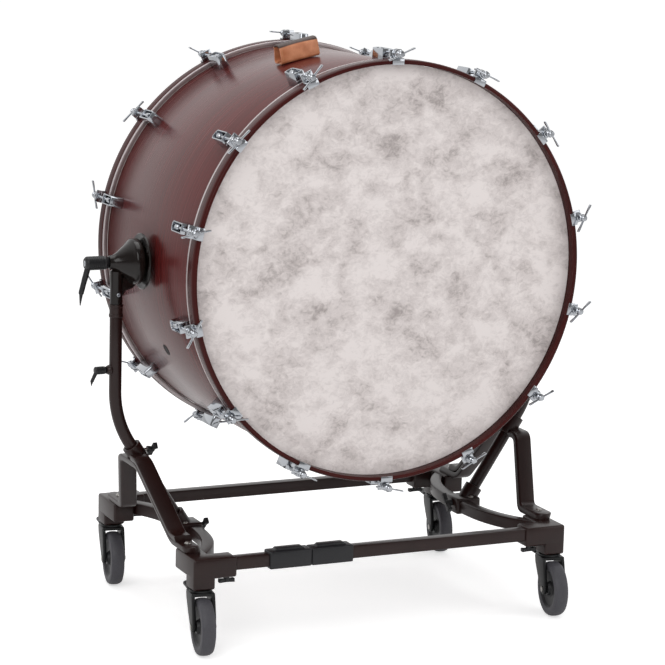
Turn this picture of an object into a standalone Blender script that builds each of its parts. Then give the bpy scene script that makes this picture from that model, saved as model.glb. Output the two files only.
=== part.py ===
"""Concert bass drum in a tilting, height-adjustable stand on four braked casters.

Metres, +Z up. The drum's axis lies along Y with the front head facing -Y, and the drum tilts
about the X axis through its middle. The origin is on the floor under the middle of the stand.
"""
import math

import bmesh
import bpy
from mathutils import Matrix, Vector

OBJECT_NAME = "concert_bass_drum"

# Fits
FIT = 0.0003             # gap between pieces that touch
WELD = 0.00002           # distance within which points of one piece are made one
EMBED = 0.0018           # how deep a welded-on piece reaches into what carries it

# Drum
SHELL_RADIUS = 0.4555
SHELL_WALL = 0.009
SHELL_DEPTH = 0.559
BEARING_EDGE = 0.0025    # from the outside of the shell in to the peak of its bearing edge
RING_STEPS = 42
DRUM_AXIS_HEIGHT = 0.813
VENT_RADIUS = 0.010
VENT_ANGLE = math.radians(26.6)   # below the left trunnion

# Heads and hoops
FILM = 0.0006
FLESH_HOOP_WALL = 0.0105
FLESH_HOOP_LENGTH = 0.012
HOOP_WALL = 0.0105
HOOP_LENGTH = 0.030
HOOP_OVERHANG = 0.027    # how far the wooden hoop stands in front of the shell's end
HOOP_EDGE = 0.002

# Tuning hardware
LUG_COUNT = 14
LUG_LENGTH = 0.038
LUG_WIDTH = 0.030
LUG_HEIGHT = 0.031
LUG_WALL = 0.004
LUG_FLOOR = 0.012
LUG_SETBACK = 0.047      # from the shell's end back to the lug's front wall
ROD_STANDOFF = 0.0245    # rod axis above the shell
ROD_RADIUS = 0.0035
ROD_STEPS = 6
NUT_RADIUS = 0.0065
NUT_LENGTH = 0.018
NUT_PLAY = 0.002
CLAW_WIDTH = 0.028
CLAW_SHEET = 0.003
CLAW_LIP = 0.0115        # how far the claw reaches in over the hoop's front face
CLAW_EAR_SETBACK = 0.012
CLAW_EAR_HEIGHT = 0.009  # beyond the rod's axis
HANDLE_HUB_RADIUS = 0.0082
HANDLE_FRONT = 0.013     # hub's front face, ahead of the hoop
HANDLE_SPAN = 0.068
HANDLE_DEPTH = 0.009
HANDLE_THICKNESS = 0.0036
HANDLE_WAIST = 0.006
# How each front handle came to rest, in degrees from +X toward +Z, clockwise from the top one
HANDLE_TURNS = (27, -21, -53, 68, 46, 29, 32, -9, -21, 6, 65, 15, 49, 56)
REAR_HANDLE_TURNS = (10, 30, -40, 85, 60, 20, -30, 5, 40, 70, -15, 35, -60, 25)

# Carrying strap: a wide leather loop on top of the shell, its two feet turned in under it
STRAP_ANGLE = math.radians(-13)   # clockwise from the top, seen from the front
STRAP_WIDTH = 0.095               # along the shell's curve
STRAP_DEPTH = 0.050               # along the drum
STRAP_THICKNESS = 0.004
STRAP_RISE = 0.045
STRAP_CORNER = 0.008
STRAP_FEET_GAP = 0.012

# Trunnions: distances from the middle of the drum along the tilt axis
BACKING_PLATE_RADIUS = 0.045
BACKING_PLATE_THICKNESS = 0.008
SPINDLE_STUB_RADIUS = 0.008
SPINDLE_NUT_RADIUS = 0.014
SPINDLE_NUT_LENGTH = 0.012
SPINDLE_BOSS_RADIUS = 0.018
SPINDLE_DISC_RADIUS = 0.063
SPINDLE_DISC_BACK = SHELL_RADIUS + 0.0125
SPINDLE_DISC_THICKNESS = 0.005
SPINDLE_SHAFT_RADIUS = 0.012
SPINDLE_SHAFT_END = SHELL_RADIUS + 0.081
BELL_MOUTH = SHELL_RADIUS + 0.023
BELL_RIM_RADIUS = 0.051
BELL_RIM_LENGTH = 0.016
BELL_NECK_RADIUS = 0.015
BELL_TIP = SHELL_RADIUS + 0.0915
BELL_WALL = 0.004
SIDE_STEPS = 16
SMALL_STEPS = 8

# Uprights
UPRIGHT_X = SHELL_RADIUS + 0.0725
TUBE_RADIUS = 0.014
TUBE_STEPS = 12
TUBE_RESOLUTION = TUBE_STEPS // 2 - 2    # the curve setting that gives as many sides
LEVER_BOSS_HEIGHT = 0.007
LEVER_BOSS_RADIUS = 0.012
TUBE_LEAN = math.radians(33)
BEND_RADIUS = 0.225
BEND_POINTS = 4
TUBE_FOOT_X = UPRIGHT_X - 0.174
TUBE_FOOT_Z = 0.188
COLLAR_RADIUS = 0.0162
COLLAR_TOP = DRUM_AXIS_HEIGHT - 0.094
COLLAR_LENGTH = 0.029
POST_RADIUS = 0.011
POST_CLEARANCE = 0.0054   # from the top of the tube's bend up to the post
HEIGHT_LEVER_RISE = 0.0489   # from the top of the tube's bend up to the lever
STUD_RADIUS = 0.004

# Base
BAR = 0.028
BAR_WALL = 0.004
BAR_TOP = 0.205
CROSS_BAR_OFFSET = 0.294
CROSS_BAR_HALF = UPRIGHT_X - 0.088
BLOCK_WALL = 0.0057
BLOCK_OUTER_X = CROSS_BAR_HALF + 0.016
BLOCK_SLEEVE = 0.100
BLOCK_TOP = 0.2085
BLOCK_BOTTOM = 0.164
BLOCK_DEPTH = 0.050
BLOCK_SIDE_LENGTH = 0.116
BLOCK_SIDE_WIDTH = 0.050
BOSS_BOTTOM = 0.140
BLOCK_ROUND = 0.006
BOW_MIDDLE_X = TUBE_FOOT_X - 0.010
BOW_DEPTH = BLOCK_OUTER_X - 0.024 - BOW_MIDDLE_X
BOW_END_Y = 0.262
BOW_POWER = 3
BOW_POINTS = 5
WING_SCREW_X = BLOCK_OUTER_X - 0.083
PAD_LENGTH = 0.100
PAD_WALL = 0.005
PAD_RIDGE = 0.006
PAD_MIDDLE_X = -0.178

# Side A-frames
STRAP_BAR_WIDTH = 0.040
STRAP_BAR = 0.016
DOUBLER = 0.015
FRAME_FOOT_X = BLOCK_OUTER_X - 0.020
FRAME_TOP_X = UPRIGHT_X - 0.050
FRAME_TOP_Z = 0.368
FOOT_TIP_Y = 0.262
FOOT_BEND_Y = 0.163
SHOULDER_Y = 0.054
CLAMP_RADIUS = 0.021
UPPER_CLAMP_Z = 0.376
UPPER_CLAMP_LENGTH = 0.048
LOWER_CLAMP_Z = 0.214
LOWER_CLAMP_LENGTH = 0.044
CLAMP_BLOCK_HALF_Y = 0.030
CLAMP_BLOCK_INNER_X = TUBE_FOOT_X - 0.030
CLAMP_BLOCK_OUTER_X = TUBE_FOOT_X + 0.032
LOWER_KNOB_Z = 0.197

# Knobs and levers
KNOB_SPAN = 0.040
KNOB_FLARE = 0.013
KNOB_WAIST = 0.007
KNOB_THICKNESS = 0.009
KNOB_HUB_RADIUS = 0.008
KNOB_HUB_LENGTH = 0.013
TILT_LEVER_HUB_RADIUS = 0.0155
TILT_LEVER_HUB_LENGTH = 0.055
TILT_LEVER_DROP = 0.093
TILT_LEVER_ARM_RADIUS = 0.0068
HEIGHT_LEVER_HUB_RADIUS = 0.009
HEIGHT_LEVER_HUB_LENGTH = 0.028
HEIGHT_LEVER_DROP = 0.034
HEIGHT_LEVER_ARM_RADIUS = 0.0045

# Casters
CASTER_X = BLOCK_OUTER_X - 0.025
CASTER_Y = 0.289
CASTER_HEADING = math.radians(8)    # turn of the wheels from the Y axis toward +X
CASTER_TRAIL = 0.030
WHEEL_RADIUS = 0.0625
WHEEL_WIDTH = 0.032
WHEEL_STEPS = 16
HUB_RADIUS = 0.014
RIM_RADIUS = 0.046
WEB_HALF = 0.007
AXLE_RADIUS = 0.005
FORK_WALL = 0.005
FORK_PLAY = 0.0025
HEAD_RADIUS = 0.0255
HEAD_BOTTOM = 0.1285
STEM_RADIUS = 0.0055
STEM_TOP = 0.168
PEDAL_WIDTH = 0.040
PEDAL_REACH = 0.092
PEDAL_PIVOT = 0.0335
PEDAL_THICKNESS = 0.006
PEDAL_BARREL_RADIUS = 0.0045

# Derived places
SHELL_END = SHELL_DEPTH / 2
SHELL_INNER = SHELL_RADIUS - SHELL_WALL
FILM_RADIUS = SHELL_RADIUS + FIT + FILM
HOOP_INNER = FILM_RADIUS + FIT
HOOP_OUTER = HOOP_INNER + HOOP_WALL
HOOP_FRONT = SHELL_END + HOOP_OVERHANG
HOOP_BACK = HOOP_FRONT - HOOP_LENGTH
FLESH_FRONT = HOOP_BACK - FIT
FLESH_BACK = FLESH_FRONT - FLESH_HOOP_LENGTH
ROD_CIRCLE = SHELL_RADIUS + ROD_STANDOFF
LUG_FRONT = SHELL_END - LUG_SETBACK
EAR_FRONT = HOOP_FRONT - CLAW_EAR_SETBACK
BAR_BOTTOM = BAR_TOP - BAR
BAR_MIDDLE = BAR_TOP - BAR / 2
BLOCK_OUTER_Y = CROSS_BAR_OFFSET + BAR / 2 + FIT + BLOCK_WALL
BEND_END_X = UPRIGHT_X - BEND_RADIUS * (1 - math.cos(TUBE_LEAN))
BEND_END_Z = TUBE_FOOT_Z + (BEND_END_X - TUBE_FOOT_X) / math.tan(TUBE_LEAN)
BEND_TOP_Z = BEND_END_Z + BEND_RADIUS * math.sin(TUBE_LEAN)
POST_BOTTOM = BEND_TOP_Z + POST_CLEARANCE
HEIGHT_LEVER_Z = BEND_TOP_Z + HEIGHT_LEVER_RISE
BORE_RADIUS = (POST_RADIUS + FIT) / math.cos(math.pi / TUBE_STEPS)

DARK_BRONZE = ("dark_bronze_powder_coat", (0.045, 0.027, 0.022), 0.42, 0.35)
DEEP_RED_WOOD = ("deep_red_stained_shell", (0.085, 0.022, 0.022), 0.22, 0.0)
HOOP_WOOD = ("stained_hoop_wood", (0.075, 0.022, 0.024), 0.28, 0.0)
CREAM_FILM = ("cream_head_film", (0.74, 0.69, 0.67), 0.55, 0.0)
PALE_ALUMINIUM = ("pale_aluminium", (0.62, 0.56, 0.56), 0.30, 0.9)
CHROME = ("polished_chrome", (0.75, 0.76, 0.78), 0.12, 1.0)
BLACK_PLASTIC = ("black_moulded_plastic", (0.022, 0.022, 0.024), 0.48, 0.0)
GREY_RUBBER = ("grey_wheel_rubber", (0.16, 0.16, 0.17), 0.60, 0.0)
DARK_GREY_PLASTIC = ("dark_grey_housing", (0.055, 0.055, 0.058), 0.50, 0.0)
TAN_LEATHER = ("tan_strap_leather", (0.40, 0.15, 0.055), 0.50, 0.0)


def clear_scene():
    for obj in list(bpy.data.objects):
        bpy.data.objects.remove(obj, do_unlink=True)


def new_collection(name):
    collection = bpy.data.collections.new(name)
    bpy.context.scene.collection.children.link(collection)
    return collection


clear_scene()
PARTS = new_collection(OBJECT_NAME)
CUTTERS = new_collection("cutters")


def hole(radius, steps):
    """Radius of a hole's corners that lets a round pin of the given radius turn in it."""
    return (radius + FIT) / math.cos(math.pi / steps)


def material(finish):
    name, colour, roughness, metallic = finish
    made = bpy.data.materials.get(name)
    if made is None:
        made = bpy.data.materials.new(name)
        made.use_nodes = True
        shader = made.node_tree.nodes["Principled BSDF"]
        shader.inputs["Base Color"].default_value = (*colour, 1)
        shader.inputs["Roughness"].default_value = roughness
        shader.inputs["Metallic"].default_value = metallic
    return made


def new_object(name, mesh, collection=PARTS, matrix=None):
    obj = bpy.data.objects.new(name, mesh)
    collection.objects.link(obj)
    if matrix is not None:
        obj.matrix_world = matrix
    if collection is CUTTERS:
        obj.hide_render = True
        obj.display_type = "WIRE"
    return obj


def finish(obj, kind, smooth_angle=35):
    """Gives a piece its material and its shading."""
    obj.data.materials.clear()
    obj.data.materials.append(material(kind))
    obj.data.shade_smooth()
    obj.data.set_sharp_from_angle(angle=math.radians(smooth_angle))
    return obj


def evaluated_mesh(obj, name):
    """The mesh of an object with its modifiers applied and its loose caps welded."""
    bpy.context.view_layer.update()
    graph = bpy.context.evaluated_depsgraph_get()
    mesh = bpy.data.meshes.new_from_object(obj.evaluated_get(graph))
    mesh.name = name
    work = bmesh.new()
    work.from_mesh(mesh)
    bmesh.ops.remove_doubles(work, verts=work.verts, dist=WELD)
    bmesh.ops.recalc_face_normals(work, faces=work.faces)
    work.to_mesh(mesh)
    work.free()
    return mesh


def solidified(obj, name, matrix=None):
    """Turns a helper object into a plain mesh and removes the helper."""
    mesh = evaluated_mesh(obj, name)
    mesh.transform(obj.matrix_world)
    bpy.data.objects.remove(obj, do_unlink=True)
    if matrix is not None:
        mesh.transform(matrix)
    return mesh


def turned_mesh(name, profile, steps, closed=False):
    """A profile of (radius, height) points, outer side from top to bottom, turned about Z."""
    mesh = bpy.data.meshes.new(name)
    work = bmesh.new()
    points = [work.verts.new((radius, 0, height)) for radius, height in profile]
    for first, second in zip(points, points[1:]):
        work.edges.new((first, second))
    if closed:
        work.edges.new((points[-1], points[0]))
    work.to_mesh(mesh)
    work.free()
    obj = new_object(name + "_profile", mesh, CUTTERS)
    screw = obj.modifiers.new("turn", "SCREW")
    screw.steps = steps
    screw.render_steps = steps
    screw.use_merge_vertices = True
    screw.merge_threshold = WELD
    return solidified(obj, name)


def rod_mesh(name, radius, bottom, top, steps):
    """A plain cylinder about Z."""
    return turned_mesh(name, [(0, top), (radius, top), (radius, bottom), (0, bottom)], steps)


def box_mesh(name, low, high, rounding=0.0):
    """A box between two corners, with its edges rounded if asked."""
    mesh = bpy.data.meshes.new(name)
    work = bmesh.new()
    bmesh.ops.create_cube(work, size=1)
    size = [b - a for a, b in zip(low, high)]
    middle = [(a + b) / 2 for a, b in zip(low, high)]
    bmesh.ops.scale(work, vec=size, verts=work.verts)
    bmesh.ops.translate(work, vec=middle, verts=work.verts)
    if rounding:
        bmesh.ops.bevel(work, geom=work.edges, offset=rounding, segments=1, affect="EDGES",
                        profile=0.5)
    work.to_mesh(mesh)
    work.free()
    return mesh


def outline_mesh(name, points, thickness, rounding=0.0):
    """A flat outline in XY, extruded to a thickness that is centred on Z = 0."""
    curve = bpy.data.curves.new(name, "CURVE")
    curve.dimensions = "2D"
    curve.fill_mode = "BOTH"
    curve.extrude = thickness / 2
    spline = curve.splines.new("POLY")
    spline.points.add(len(points) - 1)
    for slot, (x, y) in zip(spline.points, points):
        slot.co = (x, y, 0, 1)
    spline.use_cyclic_u = True
    mesh = solidified(new_object(name + "_outline", curve, CUTTERS), name)
    if rounding:
        work = bmesh.new()
        work.from_mesh(mesh)
        inside = [edge for edge in work.edges
                  if all(abs(face.normal.z) > 0.99 for face in edge.link_faces)]
        bmesh.ops.dissolve_edges(work, edges=inside)
        rims = [edge for edge in work.edges
                if abs(edge.verts[0].co.z - edge.verts[1].co.z) < WELD]
        bmesh.ops.bevel(work, geom=rims, offset=rounding, segments=1, affect="EDGES", profile=0.5)
        work.to_mesh(mesh)
        work.free()
    return mesh


def tube_mesh(name, points, radius, resolution=2):
    """A round tube along a list of points, with an optional radius factor as a fourth value."""
    curve = bpy.data.curves.new(name, "CURVE")
    curve.dimensions = "3D"
    curve.bevel_depth = radius
    curve.bevel_resolution = resolution
    curve.use_fill_caps = True
    spline = curve.splines.new("POLY")
    spline.points.add(len(points) - 1)
    for slot, point in zip(spline.points, points):
        slot.co = (point[0], point[1], point[2], 1)
        slot.radius = point[3] if len(point) > 3 else 1
    return solidified(new_object(name + "_path", curve, CUTTERS), name)


def combined(name, base, added=(), cut=()):
    """One closed mesh: the base with every added shape joined and every cut shape taken away, one
    at a time so that each step starts from a welded mesh."""
    mesh = base
    for operation, shapes in (("UNION", added), ("DIFFERENCE", cut)):
        for shape in shapes:
            carrier = new_object(name + "_carrier", mesh, CUTTERS)
            helper = new_object(name + "_tool", shape, CUTTERS)
            boolean = carrier.modifiers.new(operation.lower(), "BOOLEAN")
            boolean.operation = operation
            boolean.solver = "EXACT"
            boolean.object = helper
            mesh = solidified(carrier, name)
            bpy.data.objects.remove(helper, do_unlink=True)
    return mesh


def joined_at_once(name, base, shapes):
    """The base with many shapes, clear of one another, joined to it in one step."""
    crowd = bpy.data.collections.new(name + "_crowd")
    bpy.context.scene.collection.children.link(crowd)
    helpers = []
    for shape in shapes:
        helper = bpy.data.objects.new(name + "_tool", shape)
        helper.hide_render = True
        crowd.objects.link(helper)
        helpers.append(helper)
    carrier = new_object(name + "_carrier", base, CUTTERS)
    boolean = carrier.modifiers.new("union", "BOOLEAN")
    boolean.operation = "UNION"
    boolean.solver = "EXACT"
    boolean.operand_type = "COLLECTION"
    boolean.collection = crowd
    mesh = solidified(carrier, name)
    for helper in helpers:
        bpy.data.objects.remove(helper, do_unlink=True)
    bpy.data.collections.remove(crowd)
    return mesh


def moved(mesh, matrix, name=None):
    """A transformed copy of a mesh, turned right side out when the matrix mirrors it."""
    copy = mesh.copy()
    if name:
        copy.name = name
    copy.transform(matrix)
    if matrix.determinant() < 0:
        copy.flip_normals()
    return copy


# Turns a shape made about Z so that its +Z points where the name says
TO_FRONT = Matrix.Rotation(math.pi / 2, 4, "X")
TO_REAR = Matrix.Rotation(math.pi, 4, "Z") @ TO_FRONT
TO_LEFT = Matrix.Rotation(-math.pi / 2, 4, "Y")
TO_RIGHT = Matrix.Rotation(math.pi / 2, 4, "Y")
HALF_TURN = Matrix.Rotation(math.pi, 4, "Z")
MIRROR_X = Matrix.Scale(-1, 4, (1, 0, 0))
DRUM_MIDDLE = Matrix.Translation((0, 0, DRUM_AXIS_HEIGHT))


def around_drum(angle):
    """Places a shape, made with +X outward from the drum's axis and +Z to the front, at an angle
    clockwise from the top as seen from the front."""
    return TO_FRONT @ Matrix.Rotation(math.pi / 2 - angle, 4, "Z")


def lug_mesh():
    """A chromed box lug: an open-topped casting whose front wall takes the tension rod."""
    top = SHELL_RADIUS + LUG_HEIGHT
    half = LUG_WIDTH / 2
    body = box_mesh("lug", (SHELL_RADIUS - EMBED, -half, LUG_FRONT - LUG_LENGTH),
                    (top, half, LUG_FRONT))
    pocket = box_mesh("lug_pocket",
                      (SHELL_RADIUS + LUG_FLOOR, -half + LUG_WALL, LUG_FRONT - LUG_LENGTH + LUG_WALL),
                      (top + LUG_WALL, half - LUG_WALL, LUG_FRONT - LUG_WALL))
    bore = rod_mesh("lug_bore", hole(ROD_RADIUS, ROD_STEPS), LUG_FRONT - 2 * LUG_WALL, LUG_FRONT + LUG_WALL,
                    ROD_STEPS)
    bore.transform(Matrix.Translation((ROD_CIRCLE, 0, 0)))
    return combined("lug", body, cut=(pocket, bore))


def claw_mesh(with_hole):
    """A sheet claw: a lip over the hoop's front, a saddle on its outside and an ear for the rod."""
    seat = HOOP_OUTER * math.cos(math.pi / RING_STEPS) - EMBED
    outside = HOOP_OUTER + CLAW_SHEET
    ear_back = EAR_FRONT - CLAW_SHEET - 0.001
    ear_top = ROD_CIRCLE + CLAW_EAR_HEIGHT
    lip = HOOP_OUTER - CLAW_LIP
    outline = [
        (lip, HOOP_FRONT - HOOP_EDGE / 4),
        (lip, HOOP_FRONT + CLAW_SHEET),
        (outside, HOOP_FRONT + CLAW_SHEET),
        (outside, EAR_FRONT),
        (ear_top, EAR_FRONT),
        (ear_top, ear_back),
        (seat, ear_back),
        (seat, HOOP_FRONT - HOOP_EDGE / 4),
    ]
    claw = outline_mesh("claw", outline, CLAW_WIDTH)
    claw.transform(Matrix.Rotation(math.pi / 2, 4, "X"))
    if not with_hole:
        return claw
    bore = rod_mesh("claw_bore", hole(ROD_RADIUS, ROD_STEPS), ear_back - CLAW_SHEET, EAR_FRONT + CLAW_SHEET,
                    ROD_STEPS)
    bore.transform(Matrix.Translation((ROD_CIRCLE, 0, 0)))
    return combined("claw", claw, cut=(bore,))


def tension_rod_mesh(name, gap, with_nut):
    """A tension rod about Z with its nut, its hub and the two wings of its handle along X. The
    hub stops short of the claw's ear by the gap."""
    nut_front = LUG_FRONT - LUG_WALL - NUT_PLAY
    nut_back = nut_front - NUT_LENGTH
    hub_back = EAR_FRONT + gap
    hub_front = HOOP_FRONT + HANDLE_FRONT + HANDLE_DEPTH * 0.8
    profile = [(0, hub_front), (HANDLE_HUB_RADIUS, hub_front), (HANDLE_HUB_RADIUS, hub_back),
               (ROD_RADIUS, hub_back)]
    if with_nut:
        profile += [(ROD_RADIUS, nut_front), (NUT_RADIUS, nut_front), (NUT_RADIUS, nut_back)]
    else:
        profile += [(ROD_RADIUS, nut_back)]
    profile += [(0, nut_back)]
    turned = turned_mesh(name, profile, ROD_STEPS)
    tip = HANDLE_SPAN / 2
    middle = HOOP_FRONT + HANDLE_FRONT + HANDLE_DEPTH / 2
    flare = HANDLE_DEPTH / 2
    waist = HANDLE_WAIST / 2
    wing = outline_mesh(name + "_wing", [
        (-tip, middle + flare), (0, middle + waist), (tip, middle + flare),
        (tip, middle - flare), (0, middle - waist), (-tip, middle - flare),
    ], HANDLE_THICKNESS)
    wing.transform(Matrix.Rotation(math.pi / 2, 4, "X"))
    return combined(name, turned, added=(wing,))


def lug_angles():
    return [2 * math.pi * index / LUG_COUNT for index in range(LUG_COUNT)]


def rod_place(angle, turn):
    """Stands a tension rod at its angle on the drum, with its handle turned from +X toward +Z."""
    reach = Vector((math.sin(angle), 0, math.cos(angle))) * ROD_CIRCLE
    return Matrix.Translation(reach) @ Matrix.Rotation(-math.radians(turn), 4, "Y") @ TO_FRONT


def make_shell():
    """The wooden shell with its bearing edges, vent, trunnion holes and 28 lugs."""
    inner_fall = SHELL_END - (SHELL_WALL - BEARING_EDGE)
    shell = turned_mesh("shell", [
        (SHELL_RADIUS, SHELL_END - BEARING_EDGE),
        (SHELL_RADIUS, BEARING_EDGE - SHELL_END),
        (SHELL_RADIUS - BEARING_EDGE, -SHELL_END),
        (SHELL_INNER, -inner_fall),
        (SHELL_INNER, inner_fall),
        (SHELL_RADIUS - BEARING_EDGE, SHELL_END),
    ], RING_STEPS, closed=True)
    shell.transform(TO_FRONT)
    lug = lug_mesh()
    lugs = []
    for angle in lug_angles():
        place = around_drum(angle)
        lugs.append(moved(lug, place))
        lugs.append(moved(lug, HALF_TURN @ place))
    shell = joined_at_once("shell", shell, lugs)
    through = rod_mesh("trunnion_hole", SPINDLE_STUB_RADIUS + FIT, -SHELL_RADIUS - SHELL_WALL,
                       SHELL_RADIUS + SHELL_WALL, SIDE_STEPS)
    through.transform(TO_RIGHT)
    vent = rod_mesh("vent", VENT_RADIUS, SHELL_INNER - SHELL_WALL, SHELL_RADIUS + SHELL_WALL,
                    SIDE_STEPS // 2)
    vent.transform(Matrix.Rotation(-VENT_ANGLE, 4, "Y") @ TO_LEFT)
    shell = combined("shell", shell, cut=(through, vent))
    return finish(new_object("shell", shell, matrix=DRUM_MIDDLE), DEEP_RED_WOOD)


def make_hoops_and_heads():
    """Each end: a film head on its aluminium flesh hoop, and the wooden hoop that pulls it down.
    The rear rods are one piece with the rear hoop."""
    head = turned_mesh("head", [
        (0, SHELL_END + FIT + FILM),
        (FILM_RADIUS, SHELL_END + FIT + FILM),
        (FILM_RADIUS, FLESH_BACK),
        (FILM_RADIUS - FILM, FLESH_BACK),
        (FILM_RADIUS - FILM, SHELL_END + FIT),
        (0, SHELL_END + FIT),
    ], RING_STEPS)
    flesh_outer = HOOP_INNER + FLESH_HOOP_WALL
    flesh_hoop = turned_mesh("flesh_hoop", [
        (flesh_outer, FLESH_FRONT), (flesh_outer, FLESH_BACK),
        (HOOP_INNER, FLESH_BACK), (HOOP_INNER, FLESH_FRONT),
    ], RING_STEPS, closed=True)
    hoop = turned_mesh("hoop", [
        (HOOP_OUTER, HOOP_FRONT - HOOP_EDGE), (HOOP_OUTER, HOOP_BACK),
        (HOOP_INNER, HOOP_BACK), (HOOP_INNER, HOOP_FRONT - HOOP_EDGE),
        (HOOP_INNER + HOOP_EDGE, HOOP_FRONT), (HOOP_OUTER - HOOP_EDGE, HOOP_FRONT),
    ], RING_STEPS, closed=True)
    for end, aim in (("front", TO_FRONT), ("rear", TO_REAR)):
        finish(new_object(end + "_head", moved(head, aim), matrix=DRUM_MIDDLE), CREAM_FILM)
        finish(new_object(end + "_flesh_hoop", moved(flesh_hoop, aim), matrix=DRUM_MIDDLE),
               PALE_ALUMINIUM)

    drilled_claw = claw_mesh(with_hole=True)
    front = joined_at_once("front_counterhoop", moved(hoop, TO_FRONT),
                           [moved(drilled_claw, around_drum(angle)) for angle in lug_angles()])
    finish(new_object("front_counterhoop", front, matrix=DRUM_MIDDLE), HOOP_WOOD)

    claw = claw_mesh(with_hole=False)
    rod = tension_rod_mesh("rear_rod", -CLAW_SHEET / 2, with_nut=False)
    claws = [moved(claw, HALF_TURN @ around_drum(angle)) for angle in lug_angles()]
    rods = [moved(rod, HALF_TURN @ rod_place(angle, turn))
            for angle, turn in zip(lug_angles(), REAR_HANDLE_TURNS)]
    rear = joined_at_once("rear_counterhoop", moved(hoop, TO_REAR), claws)
    rear = joined_at_once("rear_counterhoop", rear, rods)
    finish(new_object("rear_counterhoop", rear, matrix=DRUM_MIDDLE), HOOP_WOOD)


def make_front_rods():
    """Fourteen rods of one mesh, each turned as its handle was left, with its origin on its axis."""
    rod = tension_rod_mesh("tension_rod", FIT, with_nut=True)
    for index, (angle, turn) in enumerate(zip(lug_angles(), HANDLE_TURNS), start=1):
        name = f"front_tension_rod_{index:02d}"
        finish(new_object(name, rod, matrix=DRUM_MIDDLE @ rod_place(angle, turn)), CHROME)


def make_strap():
    """The leather carrying strap, a loop whose feet are cut to the shell's curve."""
    half = STRAP_DEPTH / 2
    seat = SHELL_RADIUS - STRAP_THICKNESS
    foot = SHELL_RADIUS + STRAP_THICKNESS
    top = SHELL_RADIUS + STRAP_RISE
    inner_top = top - STRAP_THICKNESS
    inner_half = half - STRAP_THICKNESS
    inner_corner = STRAP_CORNER - STRAP_THICKNESS * 0.6
    gap = STRAP_FEET_GAP / 2
    side = [(seat, gap), (seat, half), (top - STRAP_CORNER, half), (top, half - STRAP_CORNER)]
    inner_side = [(foot, gap), (foot, inner_half), (inner_top - inner_corner, inner_half),
                  (inner_top, inner_half - inner_corner)]
    outline = side + [(rise, -along) for rise, along in reversed(side)]
    outline += [(rise, -along) for rise, along in inner_side] + inner_side[::-1]
    strap = outline_mesh("strap", outline, STRAP_WIDTH)
    strap.transform(around_drum(STRAP_ANGLE) @ Matrix.Rotation(math.pi / 2, 4, "X"))
    drum_side = rod_mesh("drum_side", SHELL_RADIUS + FIT, -STRAP_WIDTH, STRAP_WIDTH, RING_STEPS)
    drum_side.transform(TO_FRONT)
    strap = combined("carrying_strap", strap, cut=(drum_side,))
    finish(new_object("carrying_strap", strap, matrix=DRUM_MIDDLE), TAN_LEATHER)


def make_trunnion(side, aim):
    """One side's spindle on the shell, its backing plate inside, and the bell housing and post
    that carry it. Shapes are made with +Z outward along the tilt axis."""
    plate_inner = SHELL_INNER - BACKING_PLATE_THICKNESS
    hole = SPINDLE_STUB_RADIUS + FIT
    plate = turned_mesh("plate", [
        (BACKING_PLATE_RADIUS, SHELL_RADIUS), (BACKING_PLATE_RADIUS, plate_inner),
        (hole, plate_inner), (hole, SHELL_RADIUS),
    ], SIDE_STEPS, closed=True)
    plate.transform(aim)
    room = SHELL_RADIUS + BACKING_PLATE_RADIUS
    shell_wall = turned_mesh("shell_wall", [
        (room, room), (room, -room), (SHELL_INNER - FIT, -room), (SHELL_INNER - FIT, room),
    ], RING_STEPS, closed=True)
    shell_wall.transform(TO_FRONT)
    plate = combined("plate", plate, cut=(shell_wall,))
    finish(new_object(side + "_backing_plate", plate, matrix=DRUM_MIDDLE), PALE_ALUMINIUM)

    disc_front = SPINDLE_DISC_BACK + SPINDLE_DISC_THICKNESS
    spindle = turned_mesh("spindle", [
        (0, SPINDLE_SHAFT_END), (SPINDLE_SHAFT_RADIUS, SPINDLE_SHAFT_END),
        (SPINDLE_SHAFT_RADIUS, disc_front), (SPINDLE_DISC_RADIUS * 0.82, disc_front),
        (SPINDLE_DISC_RADIUS, disc_front - 0.002), (SPINDLE_DISC_RADIUS, SPINDLE_DISC_BACK),
        (SPINDLE_BOSS_RADIUS * 1.4, SPINDLE_DISC_BACK), (SPINDLE_BOSS_RADIUS, SPINDLE_DISC_BACK - 0.004),
        (SPINDLE_BOSS_RADIUS, SHELL_RADIUS - SHELL_WALL), (0, SHELL_RADIUS - SHELL_WALL),
    ], SIDE_STEPS)
    spindle.transform(aim)
    drum_body = rod_mesh("drum_body", SHELL_RADIUS + FIT, -room, room, RING_STEPS)
    drum_body.transform(TO_FRONT)
    spindle = combined("spindle", spindle, cut=(drum_body,))
    nut_outer = plate_inner - FIT
    stub = turned_mesh("stub", [
        (0, SHELL_RADIUS + SHELL_WALL), (SPINDLE_STUB_RADIUS, SHELL_RADIUS + SHELL_WALL),
        (SPINDLE_STUB_RADIUS, nut_outer), (SPINDLE_NUT_RADIUS, nut_outer),
        (SPINDLE_NUT_RADIUS, nut_outer - SPINDLE_NUT_LENGTH), (0, nut_outer - SPINDLE_NUT_LENGTH),
    ], SIDE_STEPS // 2)
    stub.transform(aim)
    spindle = combined("spindle", spindle, added=(stub,))
    finish(new_object(side + "_tilt_spindle", spindle, matrix=DRUM_MIDDLE), DARK_BRONZE)

    make_housing(side, aim)
    make_tilt_lever(side, aim)


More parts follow.
